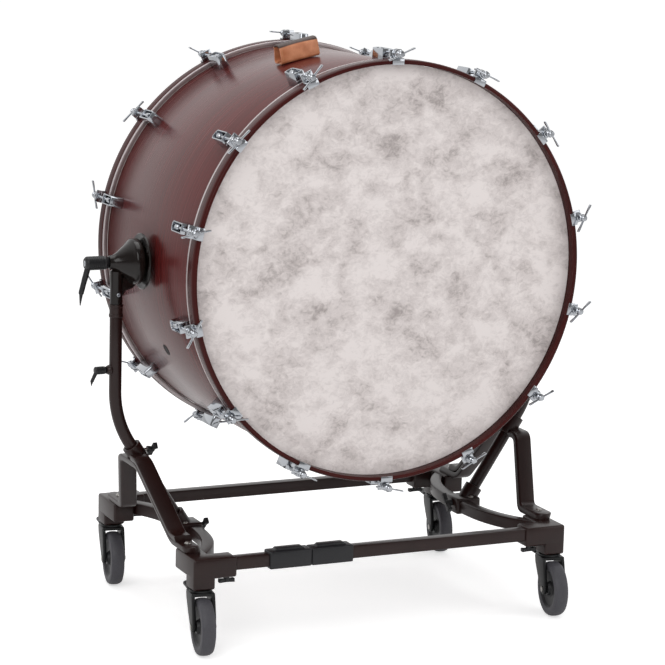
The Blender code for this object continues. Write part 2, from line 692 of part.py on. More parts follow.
def make_housing(side, aim):
    """The bell-shaped bearing housing, with the stem under it and the post that slides in the
    upright tube."""
    bore = SPINDLE_SHAFT_RADIUS + FIT
    cone = BELL_MOUTH + BELL_RIM_LENGTH
    seat = BELL_TIP - 0.0095
    inside = seat - 0.021
    bell = turned_mesh("bell", [
        (BELL_NECK_RADIUS, BELL_TIP), (BELL_NECK_RADIUS + 0.0015, BELL_TIP - 0.007),
        (BELL_NECK_RADIUS + 0.008, BELL_TIP - 0.020), (BELL_RIM_RADIUS - 0.016, BELL_TIP - 0.036),
        (BELL_RIM_RADIUS - 0.005, BELL_TIP - 0.047), (BELL_RIM_RADIUS, cone),
        (BELL_RIM_RADIUS, BELL_MOUTH), (BELL_RIM_RADIUS - BELL_WALL, BELL_MOUTH),
        (BELL_RIM_RADIUS - BELL_WALL - 0.001, cone - 0.003),
        (BELL_RIM_RADIUS - 0.022, inside - 0.007), (bore + BELL_WALL, inside), (bore, inside),
        (bore, seat), (STUD_RADIUS + FIT, seat), (STUD_RADIUS + FIT, BELL_TIP),
    ], SIDE_STEPS, closed=True)
    bell.transform(aim)
    across = aim @ Vector((0, 0, UPRIGHT_X))
    stem_bottom = COLLAR_TOP + FIT - DRUM_AXIS_HEIGHT
    stem_top = -bore - FIT - 0.001
    post = turned_mesh("post", [
        (0, stem_top), (TUBE_RADIUS, stem_top), (TUBE_RADIUS, stem_bottom),
        (POST_RADIUS, stem_bottom), (POST_RADIUS, POST_BOTTOM - DRUM_AXIS_HEIGHT),
        (0, POST_BOTTOM - DRUM_AXIS_HEIGHT),
    ], TUBE_STEPS)
    post.transform(Matrix.Translation(across))
    inward = -1 if across.x > 0 else 1
    rib = outline_mesh("rib", [
        (across.x + inward * 0.006, -0.074), (across.x + inward * 0.006, -0.030),
        (across.x + inward * 0.046, -0.0475), (across.x + inward * 0.036, -0.058),
    ], 0.010)
    rib.transform(Matrix.Rotation(math.pi / 2, 4, "X"))
    housing = combined("housing", bell, added=(post, rib))
    finish(new_object(side + "_trunnion_housing", housing, matrix=DRUM_MIDDLE), DARK_BRONZE)


def lever_mesh(name, hub_radius, hub_length, arm_radius, drop, stud_length):
    """A clamping lever about Z: a ribbed hub, a stud below it and an arm that leaves the hub's
    outer end and sweeps down along -Y."""
    hub = turned_mesh(name + "_hub", [
        (0, hub_length), (hub_radius * 0.8, hub_length), (hub_radius, hub_length - hub_radius * 0.2),
        (hub_radius, hub_length * 0.2), (hub_radius * 0.85, 0), (STUD_RADIUS, 0),
        (STUD_RADIUS, -stud_length), (0, -stud_length),
    ], SMALL_STEPS)
    start = hub_length - arm_radius * 1.1
    arm = tube_mesh(name + "_arm", [
        (0, 0, start, 0.9), (0, -drop * 0.22, start + arm_radius * 0.5, 1.1),
        (0, -drop * 0.45, start + arm_radius * 1.3, 1.05),
        (0, -drop * 0.72, start + arm_radius * 2.2, 0.95),
        (0, -drop * 0.97, start + arm_radius * 2.5, 0.9),
        (0, -drop, start + arm_radius * 2.5, 0.75),
    ], arm_radius, 2)
    return combined(name, hub, added=(arm,))


def make_tilt_lever(side, aim):
    """The lever that clamps the spindle, screwed into the small end of the bell."""
    depth = BELL_TIP - SPINDLE_SHAFT_END - FIT
    lever = lever_mesh("tilt_lever", TILT_LEVER_HUB_RADIUS, TILT_LEVER_HUB_LENGTH,
                       TILT_LEVER_ARM_RADIUS, TILT_LEVER_DROP, depth)
    lever.transform(arm_down(aim))
    place = aim @ Vector((0, 0, BELL_TIP + FIT)) + Vector((0, 0, DRUM_AXIS_HEIGHT))
    finish(new_object(side + "_tilt_lever", lever, matrix=Matrix.Translation(place)), BLACK_PLASTIC)


def arm_down(aim):
    """Turns a shape with +Z outward about its axis until its -Y points down."""
    outward = aim @ Vector((0, 0, 1))
    down = Vector((0, 0, -1))
    side = (-down).cross(outward)
    turn = Matrix((side, -down, outward)).transposed()
    return turn.to_4x4()


def tube_path(overshoot=0.0):
    """Middle line of the right upright: straight down, a bend, then a straight lean inward."""
    points = [(UPRIGHT_X, 0, COLLAR_TOP - FIT + overshoot)]
    for step in range(BEND_POINTS + 1):
        turn = TUBE_LEAN * step / BEND_POINTS
        points.append((UPRIGHT_X - BEND_RADIUS * (1 - math.cos(turn)), 0,
                       BEND_TOP_Z - BEND_RADIUS * math.sin(turn)))
    points.append((TUBE_FOOT_X - overshoot * math.sin(TUBE_LEAN), 0,
                   TUBE_FOOT_Z - overshoot * math.cos(TUBE_LEAN)))
    return points


def along_lean(sign, height):
    """Places a shape made about Z on the leaning part of an upright, at a height."""
    x = TUBE_FOOT_X + (height - TUBE_FOOT_Z) * math.tan(TUBE_LEAN)
    return Matrix.Translation((sign * x, 0, height)) @ Matrix.Rotation(sign * TUBE_LEAN, 4, "Y")


def make_uprights():
    """The bent, hollow tubes with their collars and the bosses of their clamping levers. The two
    are one part, set half a turn apart about the vertical."""
    tube = tube_mesh("upright", tube_path(), TUBE_RADIUS, TUBE_RESOLUTION)
    collar_bottom = COLLAR_TOP - COLLAR_LENGTH
    collar = turned_mesh("collar", [
        (0, COLLAR_TOP), (COLLAR_RADIUS, COLLAR_TOP), (COLLAR_RADIUS, collar_bottom),
        (0, collar_bottom),
    ], TUBE_STEPS + 2)
    collar.transform(Matrix.Translation((UPRIGHT_X, 0, 0)))
    aim = Matrix.Translation((0, 0, HEIGHT_LEVER_Z)) @ TO_RIGHT
    face = UPRIGHT_X + TUBE_RADIUS + LEVER_BOSS_HEIGHT
    boss = turned_mesh("lever_boss", [
        (0, face), (LEVER_BOSS_RADIUS * 0.7, face),
        (LEVER_BOSS_RADIUS, UPRIGHT_X + TUBE_RADIUS), (LEVER_BOSS_RADIUS, UPRIGHT_X), (0, UPRIGHT_X),
    ], SMALL_STEPS)
    boss.transform(aim)
    bore = tube_mesh("bore", tube_path(overshoot=0.01), BORE_RADIUS, TUBE_RESOLUTION)
    stud_hole = rod_mesh("stud_hole", hole(STUD_RADIUS, SMALL_STEPS), UPRIGHT_X, face + 0.01, SMALL_STEPS)
    stud_hole.transform(aim)
    upright = combined("upright", tube, added=(collar, boss), cut=(bore, stud_hole))
    finish(new_object("right_upright", upright), DARK_BRONZE)
    finish(new_object("left_upright", moved(upright, HALF_TURN)), DARK_BRONZE)

    reach = face + FIT - UPRIGHT_X - POST_RADIUS - FIT
    for side, sign, turn in (("left", -1, TO_LEFT), ("right", 1, TO_RIGHT)):
        lever = lever_mesh("height_lever", HEIGHT_LEVER_HUB_RADIUS, HEIGHT_LEVER_HUB_LENGTH,
                           HEIGHT_LEVER_ARM_RADIUS, HEIGHT_LEVER_DROP, reach)
        lever.transform(arm_down(turn))
        place = Matrix.Translation((sign * (face + FIT), 0, HEIGHT_LEVER_Z))
        finish(new_object(side + "_height_lever", lever, matrix=place), BLACK_PLASTIC)


def knob_mesh(name, screw_length):
    """A T-knob about Z: a short hub with a bow-tie grip on top and a screw below."""
    stem = turned_mesh(name + "_stem", [
        (0, KNOB_HUB_LENGTH + KNOB_THICKNESS / 2), (KNOB_HUB_RADIUS * 0.8, KNOB_HUB_LENGTH),
        (KNOB_HUB_RADIUS, 0), (STUD_RADIUS, 0), (STUD_RADIUS, -screw_length), (0, -screw_length),
    ], SMALL_STEPS)
    tip = KNOB_SPAN / 2
    flare = KNOB_FLARE / 2
    waist = KNOB_WAIST / 2
    grip = outline_mesh(name + "_grip", [
        (-tip, flare), (0, waist), (tip, flare), (tip, -flare), (0, -waist), (-tip, -flare),
    ], KNOB_THICKNESS)
    grip.transform(Matrix.Translation((0, 0, KNOB_HUB_LENGTH)))
    return combined(name, stem, added=(grip,))


def bow_x(y):
    """Middle line of the bowed side bar in plan."""
    return BOW_MIDDLE_X + BOW_DEPTH * (abs(y) / BOW_END_Y) ** BOW_POWER


def bowed_bar_mesh():
    """The side bar of the base, bowed in toward the middle of the stand, for the +X side."""
    ys = [BOW_END_Y * (2 * step / (2 * BOW_POINTS) - 1) for step in range(2 * BOW_POINTS + 1)]
    inner = []
    outer = []
    for y in ys:
        slope = BOW_DEPTH * BOW_POWER * abs(y) ** (BOW_POWER - 1) / BOW_END_Y ** BOW_POWER
        along = Vector((math.copysign(slope, y), 1)).normalized()
        across = Vector((along.y, -along.x)) * BAR / 2
        outer.append((bow_x(y) + across.x, y + across.y))
        inner.append((bow_x(y) - across.x, y - across.y))
    bar = outline_mesh("bowed_bar", outer + inner[::-1], BAR, 0.003)
    bar.transform(Matrix.Translation((0, 0, BAR_MIDDLE)))
    return bar


def corner_block_shapes(sign_y):
    """Shapes that add up to one corner of the base on the +X side, and what is cut from them."""
    low_y, high_y = sorted((sign_y * BLOCK_OUTER_Y, sign_y * (BLOCK_OUTER_Y - BLOCK_DEPTH)))
    sleeve = box_mesh("sleeve", (BLOCK_OUTER_X - BLOCK_SLEEVE, low_y, BLOCK_BOTTOM),
                      (BLOCK_OUTER_X, high_y, BLOCK_TOP), BLOCK_ROUND)
    side_y = sorted((sign_y * BLOCK_OUTER_Y, sign_y * (BLOCK_OUTER_Y - BLOCK_SIDE_LENGTH)))
    side = box_mesh("side", (BLOCK_OUTER_X - BLOCK_SIDE_WIDTH, side_y[0], BLOCK_BOTTOM + 0.0008),
                    (BLOCK_OUTER_X - 0.0006, side_y[1], BLOCK_TOP - 0.0006))
    boss = box_mesh("boss", (BLOCK_OUTER_X - BLOCK_DEPTH, low_y + 0.0008, BOSS_BOTTOM),
                    (BLOCK_OUTER_X - 0.0012, high_y - 0.0008, BLOCK_TOP - 0.01))
    gap = BAR / 2 + FIT
    pocket = box_mesh("pocket",
                      (BLOCK_OUTER_X - BLOCK_SLEEVE - 0.01, sign_y * CROSS_BAR_OFFSET - gap,
                       BAR_MIDDLE - gap),
                      (CROSS_BAR_HALF + FIT, sign_y * CROSS_BAR_OFFSET + gap, BAR_MIDDLE + gap))
    stem_hole = rod_mesh("stem_hole", hole(STEM_RADIUS, SMALL_STEPS), BOSS_BOTTOM - 0.01, STEM_TOP + FIT,
                         SMALL_STEPS)
    stem_hole.transform(Matrix.Translation((CASTER_X, sign_y * CASTER_Y, 0)))
    screw_hole = rod_mesh("screw_hole", hole(STUD_RADIUS, SMALL_STEPS), BLOCK_BOTTOM - 0.01, BAR_MIDDLE,
                          SMALL_STEPS)
    screw_hole.transform(Matrix.Translation((WING_SCREW_X, sign_y * CROSS_BAR_OFFSET, 0)))
    return [sleeve, side, boss], [pocket, stem_hole, screw_hole]


def sheared_outward(mesh):
    """Leans an A-frame outward with height while its foot and top stay level across."""
    foot_z = BLOCK_TOP + STRAP_BAR / 2
    lean = (FRAME_TOP_X - FRAME_FOOT_X) / (FRAME_TOP_Z - STRAP_BAR / 2 - foot_z)
    shear = Matrix.Identity(4)
    shear[0][2] = lean
    shear[0][3] = FRAME_FOOT_X - lean * foot_z
    mesh.transform(shear)
    return mesh


def band(points, thickness, offset):
    """The outline of a band of a given thickness along a line in the YZ plane, set off to its
    left side, with mitred corners."""
    left = []
    right = []
    for index, point in enumerate(points):
        here = Vector(point)
        before = here - Vector(points[index - 1]) if index else None
        after = Vector(points[index + 1]) - here if index < len(points) - 1 else None
        ways = [way.normalized() for way in (before, after) if way is not None]
        normals = [Vector((-way.y, way.x)) for way in ways]
        mean = sum(normals, Vector((0, 0))).normalized()
        stretch = 1 / mean.dot(normals[0])
        left.append(here + mean * stretch * (offset + thickness / 2))
        right.append(here + mean * stretch * (offset - thickness / 2))
    return [tuple(p) for p in left] + [tuple(p) for p in reversed(right)]


def softened(points, cut):
    """A line with each inner corner replaced by two points a little way along its sides."""
    out = [points[0]]
    for before, corner, after in zip(points, points[1:], points[2:]):
        corner = Vector(corner)
        for other in (before, after):
            way = Vector(other) - corner
            out.append(tuple(corner + way.normalized() * cut))
    out.append(points[-1])
    return out


def a_frame_mesh():
    """The strap that rises from both corner blocks to a level top, and the doubler on its rear
    leg, for the +X side."""
    foot_z = BLOCK_TOP + STRAP_BAR / 2 - EMBED
    top_z = FRAME_TOP_Z - STRAP_BAR / 2
    line = [(-FOOT_TIP_Y, foot_z), (-FOOT_BEND_Y, foot_z), (-SHOULDER_Y, top_z),
            (SHOULDER_Y, top_z), (FOOT_BEND_Y, foot_z), (FOOT_TIP_Y, foot_z)]
    strap = outline_mesh("strap_bar", band(softened(line, 0.012), STRAP_BAR, 0),
                         STRAP_BAR_WIDTH, 0.0025)
    leg = [(SHOULDER_Y * 0.55, top_z), (SHOULDER_Y, top_z), (FOOT_BEND_Y, foot_z),
           (FOOT_BEND_Y + 0.040, foot_z)]
    doubler = outline_mesh("doubler", band(softened(leg, 0.012), DOUBLER,
                                           (STRAP_BAR + DOUBLER) / 2 - EMBED),
                           STRAP_BAR_WIDTH)
    stand = Matrix(((0, 0, 1, 0), (1, 0, 0, 0), (0, 1, 0, 0), (0, 0, 0, 1)))
    shapes = []
    for mesh in (strap, doubler):
        mesh.transform(stand)
        shapes.append(sheared_outward(mesh))
    return shapes


def side_frame_mesh():
    """One side of the base for +X: bowed bar, two corner blocks, A-frame and two tube clamps,
    welded into one piece."""
    bar = bowed_bar_mesh()
    added = []
    cut = []
    for sign_y in (-1, 1):
        shapes, holes = corner_block_shapes(sign_y)
        added += shapes
        cut += holes
    added += a_frame_mesh()
    upper = rod_mesh("upper_clamp", CLAMP_RADIUS, -UPPER_CLAMP_LENGTH / 2, UPPER_CLAMP_LENGTH / 2,
                     TUBE_STEPS)
    upper.transform(along_lean(1, UPPER_CLAMP_Z))
    lower = rod_mesh("lower_clamp", CLAMP_RADIUS, -LOWER_CLAMP_LENGTH / 2, LOWER_CLAMP_LENGTH / 2,
                     TUBE_STEPS)
    lower.transform(along_lean(1, LOWER_CLAMP_Z))
    block = box_mesh("clamp_block", (CLAMP_BLOCK_INNER_X, -CLAMP_BLOCK_HALF_Y, BAR_BOTTOM - 0.004),
                     (CLAMP_BLOCK_OUTER_X, CLAMP_BLOCK_HALF_Y, BAR_TOP + 0.006))
    added += [upper, lower, block]
    drop = UPRIGHT_X / math.sin(TUBE_LEAN)
    tube_bore = rod_mesh("tube_bore", hole(TUBE_RADIUS, TUBE_STEPS), -FIT, drop / 3, TUBE_STEPS)
    tube_bore.transform(along_lean(1, TUBE_FOOT_Z))
    upper_hole = rod_mesh("upper_hole", hole(STUD_RADIUS, SMALL_STEPS), 0.40, along_lean(1, upper_knob_z())[0][3],
                          SMALL_STEPS)
    upper_hole.transform(Matrix.Translation((0, 0, upper_knob_z())) @ TO_RIGHT)
    lower_hole = rod_mesh("lower_hole", hole(STUD_RADIUS, SMALL_STEPS), CLAMP_BLOCK_INNER_X - 0.01,
                          along_lean(1, LOWER_KNOB_Z)[0][3], SMALL_STEPS)
    lower_hole.transform(Matrix.Translation((0, 0, LOWER_KNOB_Z)) @ TO_RIGHT)
    cut += [tube_bore, upper_hole, lower_hole]
    return combined("side_frame", bar, added=added, cut=cut)


def upper_knob_z():
    return UPPER_CLAMP_Z + 0.008


def tube_inner_face(height):
    """X of the leaning tube's inner side at a height, on the +X side."""
    return along_lean(1, height)[0][3] - TUBE_RADIUS / math.cos(TUBE_LEAN)


def make_side_frames():
    """The two side frames are one part, set half a turn apart about the vertical."""
    frame = side_frame_mesh()
    finish(new_object("right_side_frame", frame), DARK_BRONZE)
    finish(new_object("left_side_frame", moved(frame, HALF_TURN)), DARK_BRONZE)

    clamp_face = tube_inner_face(upper_knob_z() - KNOB_HUB_RADIUS)
    clamp_face -= (CLAMP_RADIUS - TUBE_RADIUS) / math.cos(TUBE_LEAN) + FIT
    places = (
        ("upper_clamp_knob", clamp_face, upper_knob_z(), 58),
        ("lower_clamp_knob", CLAMP_BLOCK_INNER_X - FIT, LOWER_KNOB_Z, 50),
    )
    for label, face, height, turn in places:
        screw = tube_inner_face(height - STUD_RADIUS) - FIT - face
        for side, sign in (("left", -1), ("right", 1)):
            knob = knob_mesh(label, screw)
            knob.transform(Matrix.Rotation(math.radians(turn), 4, "Z"))
            knob.transform(TO_LEFT if sign > 0 else TO_RIGHT)
            place = Matrix.Translation((sign * face, 0, height))
            finish(new_object(f"{side}_{label}", knob, matrix=place), BLACK_PLASTIC)


def make_cross_bars():
    """The two square tubes that join the side frames, and the two moulded sleeves that lie end
    to end on the front one."""
    half = BAR / 2
    for end, sign_y in (("front", -1), ("rear", 1)):
        bar = box_mesh(end + "_bar", (-CROSS_BAR_HALF, -half, -half), (CROSS_BAR_HALF, half, half),
                       0.0025)
        inside = half - BAR_WALL
        hollow = box_mesh("hollow", (-CROSS_BAR_HALF - BAR, -inside, -inside),
                          (CROSS_BAR_HALF + BAR, inside, inside))
        bar = combined(end + "_bar", bar, cut=(hollow,))
        place = Matrix.Translation((0, sign_y * CROSS_BAR_OFFSET, BAR_MIDDLE))
        finish(new_object(end + "_cross_bar", bar, matrix=place), DARK_BRONZE)
    for side, sign in (("left", -1), ("right", 1)):
        low, high = sorted((FIT / 2 * sign, sign * PAD_LENGTH))
        outside = half + FIT + PAD_WALL
        sleeve = box_mesh("pad", (low, -outside, -outside), (high, outside, outside), 0.004)
        ridge = outline_mesh("pad_ridge", [
            (low + 0.012, outside - 0.001), (low + 0.020, outside + PAD_RIDGE),
            (high - 0.020, outside + PAD_RIDGE), (high - 0.012, outside - 0.001),
        ], BAR * 0.7)
        ridge.transform(Matrix.Rotation(math.pi / 2, 4, "X"))
        gap = half + FIT
        tunnel = box_mesh("pad_tunnel", (low - 0.01, -gap, -gap), (high + 0.01, gap, gap))
        pad = combined("pad", sleeve, added=(ridge,), cut=(tunnel,))
        place = Matrix.Translation((PAD_MIDDLE_X, -CROSS_BAR_OFFSET, BAR_MIDDLE))
        finish(new_object(side + "_bar_sleeve", pad, matrix=place), BLACK_PLASTIC)


def make_wing_screws():
    """The screws under the corner blocks that lock the cross bars, with oval wings."""
    screw_length = BAR_BOTTOM - FIT - BLOCK_BOTTOM
    for end, sign_y in (("front", -1), ("rear", 1)):
        for side, sign_x in (("left", -1), ("right", 1)):
            screw = knob_mesh("wing_screw", screw_length)
            screw.transform(Matrix.Scale(0.8, 4))
            screw.transform(Matrix.Scale(-1, 4, (0, 0, 1)))
            screw.flip_normals()
            shank = rod_mesh("shank", STUD_RADIUS, -0.002, screw_length, SMALL_STEPS)
            screw = combined("wing_screw", screw, added=(shank,))
            place = Matrix.Translation((sign_x * WING_SCREW_X, sign_y * CROSS_BAR_OFFSET,
                                        BLOCK_BOTTOM - FIT))
            finish(new_object(f"{end}_{side}_wing_screw", screw, matrix=place), BLACK_PLASTIC)


def caster_meshes():
    """Fork, wheel and pedal of a caster about its swivel axis, trailing along -Y."""
    half = WHEEL_WIDTH / 2
    wheel = turned_mesh("wheel", [
        (WHEEL_RADIUS - 0.006, half), (WHEEL_RADIUS, half * 0.35), (WHEEL_RADIUS, -half * 0.35),
        (WHEEL_RADIUS - 0.006, -half), (RIM_RADIUS, -half), (HUB_RADIUS, -WEB_HALF),
        (AXLE_RADIUS + FIT, -half - 0.001), (AXLE_RADIUS + FIT, half + 0.001),
        (HUB_RADIUS, WEB_HALF), (RIM_RADIUS, half),
    ], WHEEL_STEPS, closed=True)
    wheel.transform(TO_RIGHT)

    cheek_in = half + FORK_PLAY
    cheek_out = cheek_in + FORK_WALL
    head_top = BOSS_BOTTOM - FIT
    head = turned_mesh("head", [
        (0, STEM_TOP), (STEM_RADIUS, STEM_TOP), (STEM_RADIUS, head_top), (HEAD_RADIUS, head_top),
        (HEAD_RADIUS, HEAD_BOTTOM), (0, HEAD_BOTTOM),
    ], 2 * SMALL_STEPS)
    crown = box_mesh("crown", (-cheek_in - 0.004, -0.0285, HEAD_BOTTOM - 0.001),
                     (cheek_in + 0.004, 0.0225, HEAD_BOTTOM + 0.006))
    cheek = outline_mesh("cheek", [
        (0.0235, HEAD_BOTTOM + 0.004), (0.022, HEAD_BOTTOM - 0.014),
        (-CASTER_TRAIL + 0.012, WHEEL_RADIUS - 0.006), (-CASTER_TRAIL + 0.005, WHEEL_RADIUS - 0.012),
        (-CASTER_TRAIL - 0.005, WHEEL_RADIUS - 0.012), (-CASTER_TRAIL - 0.012, WHEEL_RADIUS - 0.005),
        (-CASTER_TRAIL - 0.010, WHEEL_RADIUS + 0.020), (-0.0295, HEAD_BOTTOM + 0.004),
    ], FORK_WALL)
    stand = Matrix(((0, 0, 1, 0), (1, 0, 0, 0), (0, 1, 0, 0), (0, 0, 0, 1)))
    cheek.transform(stand)
    offset = cheek_in + FORK_WALL / 2
    cheeks = [moved(cheek, Matrix.Translation((sign * offset, 0, 0))) for sign in (-1, 1)]
    axle = rod_mesh("axle", AXLE_RADIUS, -cheek_out - 0.002, cheek_out + 0.002, SMALL_STEPS)
    axle.transform(Matrix.Translation((0, -CASTER_TRAIL, WHEEL_RADIUS)) @ TO_RIGHT)
    ears = []
    pivot_z = HEAD_BOTTOM + 0.001
    ear_in = PEDAL_WIDTH / 2 - 0.006
    for sign in (-1, 1):
        low, high = sorted((sign * ear_in, sign * (ear_in + 0.004)))
        ears.append(box_mesh("ear", (low, 0.018, pivot_z - 0.005),
                             (high, PEDAL_PIVOT + 0.004, pivot_z + 0.005)))
    fork = combined("fork", head, added=[crown, *cheeks, axle, *ears])

    barrel = rod_mesh("barrel", PEDAL_BARREL_RADIUS, -ear_in + FIT, ear_in - FIT, SMALL_STEPS)
    barrel.transform(Matrix.Translation((0, PEDAL_PIVOT, pivot_z)) @ TO_RIGHT)
    half_width = PEDAL_WIDTH / 2
    tread = outline_mesh("tread", [
        (-half_width, PEDAL_PIVOT + 0.010), (-half_width, PEDAL_REACH - 0.012),
        (-half_width + 0.008, PEDAL_REACH), (half_width - 0.008, PEDAL_REACH),
        (half_width, PEDAL_REACH - 0.012), (half_width, PEDAL_PIVOT + 0.010),
    ], PEDAL_THICKNESS, 0.0012)
    neck = box_mesh("neck", (-ear_in + 0.003, PEDAL_PIVOT, -PEDAL_THICKNESS * 0.4),
                    (ear_in - 0.003, PEDAL_PIVOT + 0.014, PEDAL_THICKNESS * 0.4))
    for mesh in (tread, neck):
        mesh.transform(Matrix.Translation((0, 0, pivot_z)))
    pedal = combined("pedal", barrel, added=(tread, neck))
    return fork, wheel, pedal, pivot_z


def make_casters():
    """Four swivel casters with their wheels turned as the stand was last rolled."""
    fork, wheel, pedal, pivot_z = caster_meshes()
    pedal_mesh = moved(pedal, Matrix.Translation((0, -PEDAL_PIVOT, -pivot_z)))
    for end, sign_y in (("front", -1), ("rear", 1)):
        for side, sign_x in (("left", -1), ("right", 1)):
            place = (Matrix.Translation((sign_x * CASTER_X, sign_y * CASTER_Y, 0))
                     @ Matrix.Rotation(-CASTER_HEADING, 4, "Z"))
            label = f"{end}_{side}"
            finish(new_object(label + "_caster_fork", fork, matrix=place), DARK_GREY_PLASTIC)
            at_axle = place @ Matrix.Translation((0, -CASTER_TRAIL, WHEEL_RADIUS))
            finish(new_object(label + "_wheel", wheel, matrix=at_axle), GREY_RUBBER)
            at_pivot = place @ Matrix.Translation((0, PEDAL_PIVOT, pivot_z))
            finish(new_object(label + "_brake_pedal", pedal_mesh, matrix=at_pivot), BLACK_PLASTIC)


make_shell()
make_hoops_and_heads()
make_front_rods()
make_strap()
make_trunnion("left", TO_LEFT)
make_trunnion("right", TO_RIGHT)
make_uprights()
make_side_frames()
make_cross_bars()
make_wing_screws()
make_casters()
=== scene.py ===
import math

import bmesh
import bpy
from mathutils import Matrix, Vector


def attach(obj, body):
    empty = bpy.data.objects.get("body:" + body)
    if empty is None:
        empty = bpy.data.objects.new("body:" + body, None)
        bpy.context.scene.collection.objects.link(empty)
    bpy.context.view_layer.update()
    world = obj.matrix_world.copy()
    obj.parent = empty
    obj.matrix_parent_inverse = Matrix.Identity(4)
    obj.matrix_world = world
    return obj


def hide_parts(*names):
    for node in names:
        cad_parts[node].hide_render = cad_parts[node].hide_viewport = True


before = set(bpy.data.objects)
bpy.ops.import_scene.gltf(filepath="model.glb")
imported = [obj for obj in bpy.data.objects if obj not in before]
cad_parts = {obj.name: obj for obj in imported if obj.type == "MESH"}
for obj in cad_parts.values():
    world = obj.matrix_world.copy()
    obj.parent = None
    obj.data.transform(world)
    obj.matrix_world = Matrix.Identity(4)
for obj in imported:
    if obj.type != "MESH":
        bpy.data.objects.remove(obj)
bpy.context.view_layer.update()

# The camera: a long studio lens low on the drum's left front, looking slightly down, with the
# lens shifted as the photograph is framed.
EYE = (-2.391, -5.211, 1.697)
RIGHT = Vector((0.91020, -0.41346, 0.02446))
UP = Vector((0.04115, 0.14905, 0.98798))
AHEAD = Vector((0.41213, 0.89825, -0.15268))
lens = bpy.data.cameras.new("studio_lens")
lens.sensor_width = 36
lens.lens = 136.87
lens.shift_x = -0.0025
lens.shift_y = -0.1194
lens.clip_end = 60
camera = bpy.data.objects.new("camera", lens)
camera.matrix_world = (Matrix.Translation(EYE)
                       @ Matrix((RIGHT, UP, -AHEAD)).transposed().to_4x4())
bpy.context.scene.collection.objects.link(camera)
bpy.context.scene.camera = camera
bpy.context.scene.view_settings.view_transform = "Standard"


# The studio: a seamless white floor and backdrop that show white to the lens and in the metal, a
# dim room behind the camera, and soft lamps that light the drum at a plain level.
def tint(code):
    """A colour as it is written in sRGB, as the linear colour that the shaders read."""
    parts = [int(code[at:at + 2], 16) / 255 for at in (1, 3, 5)]
    parts = [c / 12.92 if c <= 0.04045 else ((c + 0.055) / 1.055) ** 2.4 for c in parts]
    return (*parts, 1)


def add(tree, kind, settings=(), values=(), links=()):
    """Adds a node, sets its properties and its sockets' constants, and links sockets to it."""
    node = tree.nodes.new(kind)
    for name, value in dict(settings).items():
        setattr(node, name, value)
    for socket, value in dict(values).items():
        node.inputs[socket].default_value = value
    for socket, source in dict(links).items():
        tree.links.new(source, node.inputs[socket])
    return node


def new_finish(name):
    """A new material with its node tree and its Principled shader."""
    made = bpy.data.materials.new(name)
    made.use_nodes = True
    return made, made.node_tree, made.node_tree.nodes["Principled BSDF"]


floor_shape = bmesh.new()
bmesh.ops.create_grid(floor_shape, x_segments=2, y_segments=2, size=60)
floor_mesh = bpy.data.meshes.new("studio_floor")
floor_shape.to_mesh(floor_mesh)
floor = bpy.data.objects.new("studio_floor", floor_mesh)
bpy.context.scene.collection.objects.link(floor)
sweep_paint, tree, shader = new_finish("white_sweep_paint")
tree.nodes.remove(shader)
path = add(tree, "ShaderNodeLightPath")
mirrored = add(tree, "ShaderNodeMath", {"operation": "MAXIMUM"},
               links={0: path.outputs["Is Glossy Ray"], 1: path.outputs["Is Transmission Ray"]})
faint = add(tree, "ShaderNodeMath", {"operation": "MULTIPLY"}, {1: 0.16},
            {0: mirrored.outputs[0]})
lift = add(tree, "ShaderNodeMix", {"data_type": "FLOAT"}, {"B": 0.56},
           {"Factor": path.outputs["Is Camera Ray"], "A": faint.outputs[0]})
glow = add(tree, "ShaderNodeEmission", links={"Strength": lift.outputs[0]})
paint = add(tree, "ShaderNodeBsdfDiffuse", values={"Color": tint("#EDEDED")})
both = add(tree, "ShaderNodeAddShader", links={0: glow.outputs[0], 1: paint.outputs[0]})
tree.links.new(both.outputs[0], tree.nodes["Material Output"].inputs["Surface"])
floor_mesh.materials.append(sweep_paint)

world = bpy.data.worlds.new("studio_air")
world.use_nodes = True
bpy.context.scene.world = world
tree = world.node_tree
path = add(tree, "ShaderNodeLightPath")
heading = add(tree, "ShaderNodeTexCoord")
split = add(tree, "ShaderNodeSeparateXYZ", links={0: heading.outputs["Generated"]})
room = add(tree, "ShaderNodeMapRange", {"interpolation_type": "SMOOTHSTEP"},
           {"From Min": -0.25, "From Max": 0.45, "To Min": 0.24, "To Max": 1.0},
           {"Value": split.outputs["Y"]})
mirrored = add(tree, "ShaderNodeMath", {"operation": "MAXIMUM"},
               links={0: path.outputs["Is Glossy Ray"], 1: path.outputs["Is Transmission Ray"]})
soft = add(tree, "ShaderNodeMix", {"data_type": "FLOAT"}, {"A": 0.55},
           {"Factor": mirrored.outputs[0], "B": room.outputs[0]})
level = add(tree, "ShaderNodeMix", {"data_type": "FLOAT"}, {"B": 1.0},
            {"Factor": path.outputs["Is Camera Ray"], "A": soft.outputs[0]})
tree.links.new(level.outputs[0], tree.nodes["Background"].inputs["Strength"])
tree.nodes["Background"].inputs["Color"].default_value = (1, 1, 1, 1)

for name, place, aim, size, power in (
        ("key_softbox", (-3.2, -3.6, 3.6), (0, 0, 0.8), 3.4, 96),
        ("fill_softbox", (3.6, -3.4, 2.4), (0, 0, 0.7), 3.0, 45),
        ("top_softbox", (0, 0.4, 4.2), (0, 0, 0.8), 3.0, 52)):
    lamp = bpy.data.lights.new(name, "AREA")
    lamp.shape = "SQUARE"
    lamp.size = size
    lamp.energy = power
    stand = bpy.data.objects.new(name, lamp)
    stand.location = place
    stand.rotation_euler = (Vector(aim) - Vector(place)).to_track_quat("-Z", "Y").to_euler()
    bpy.context.scene.collection.objects.link(stand)


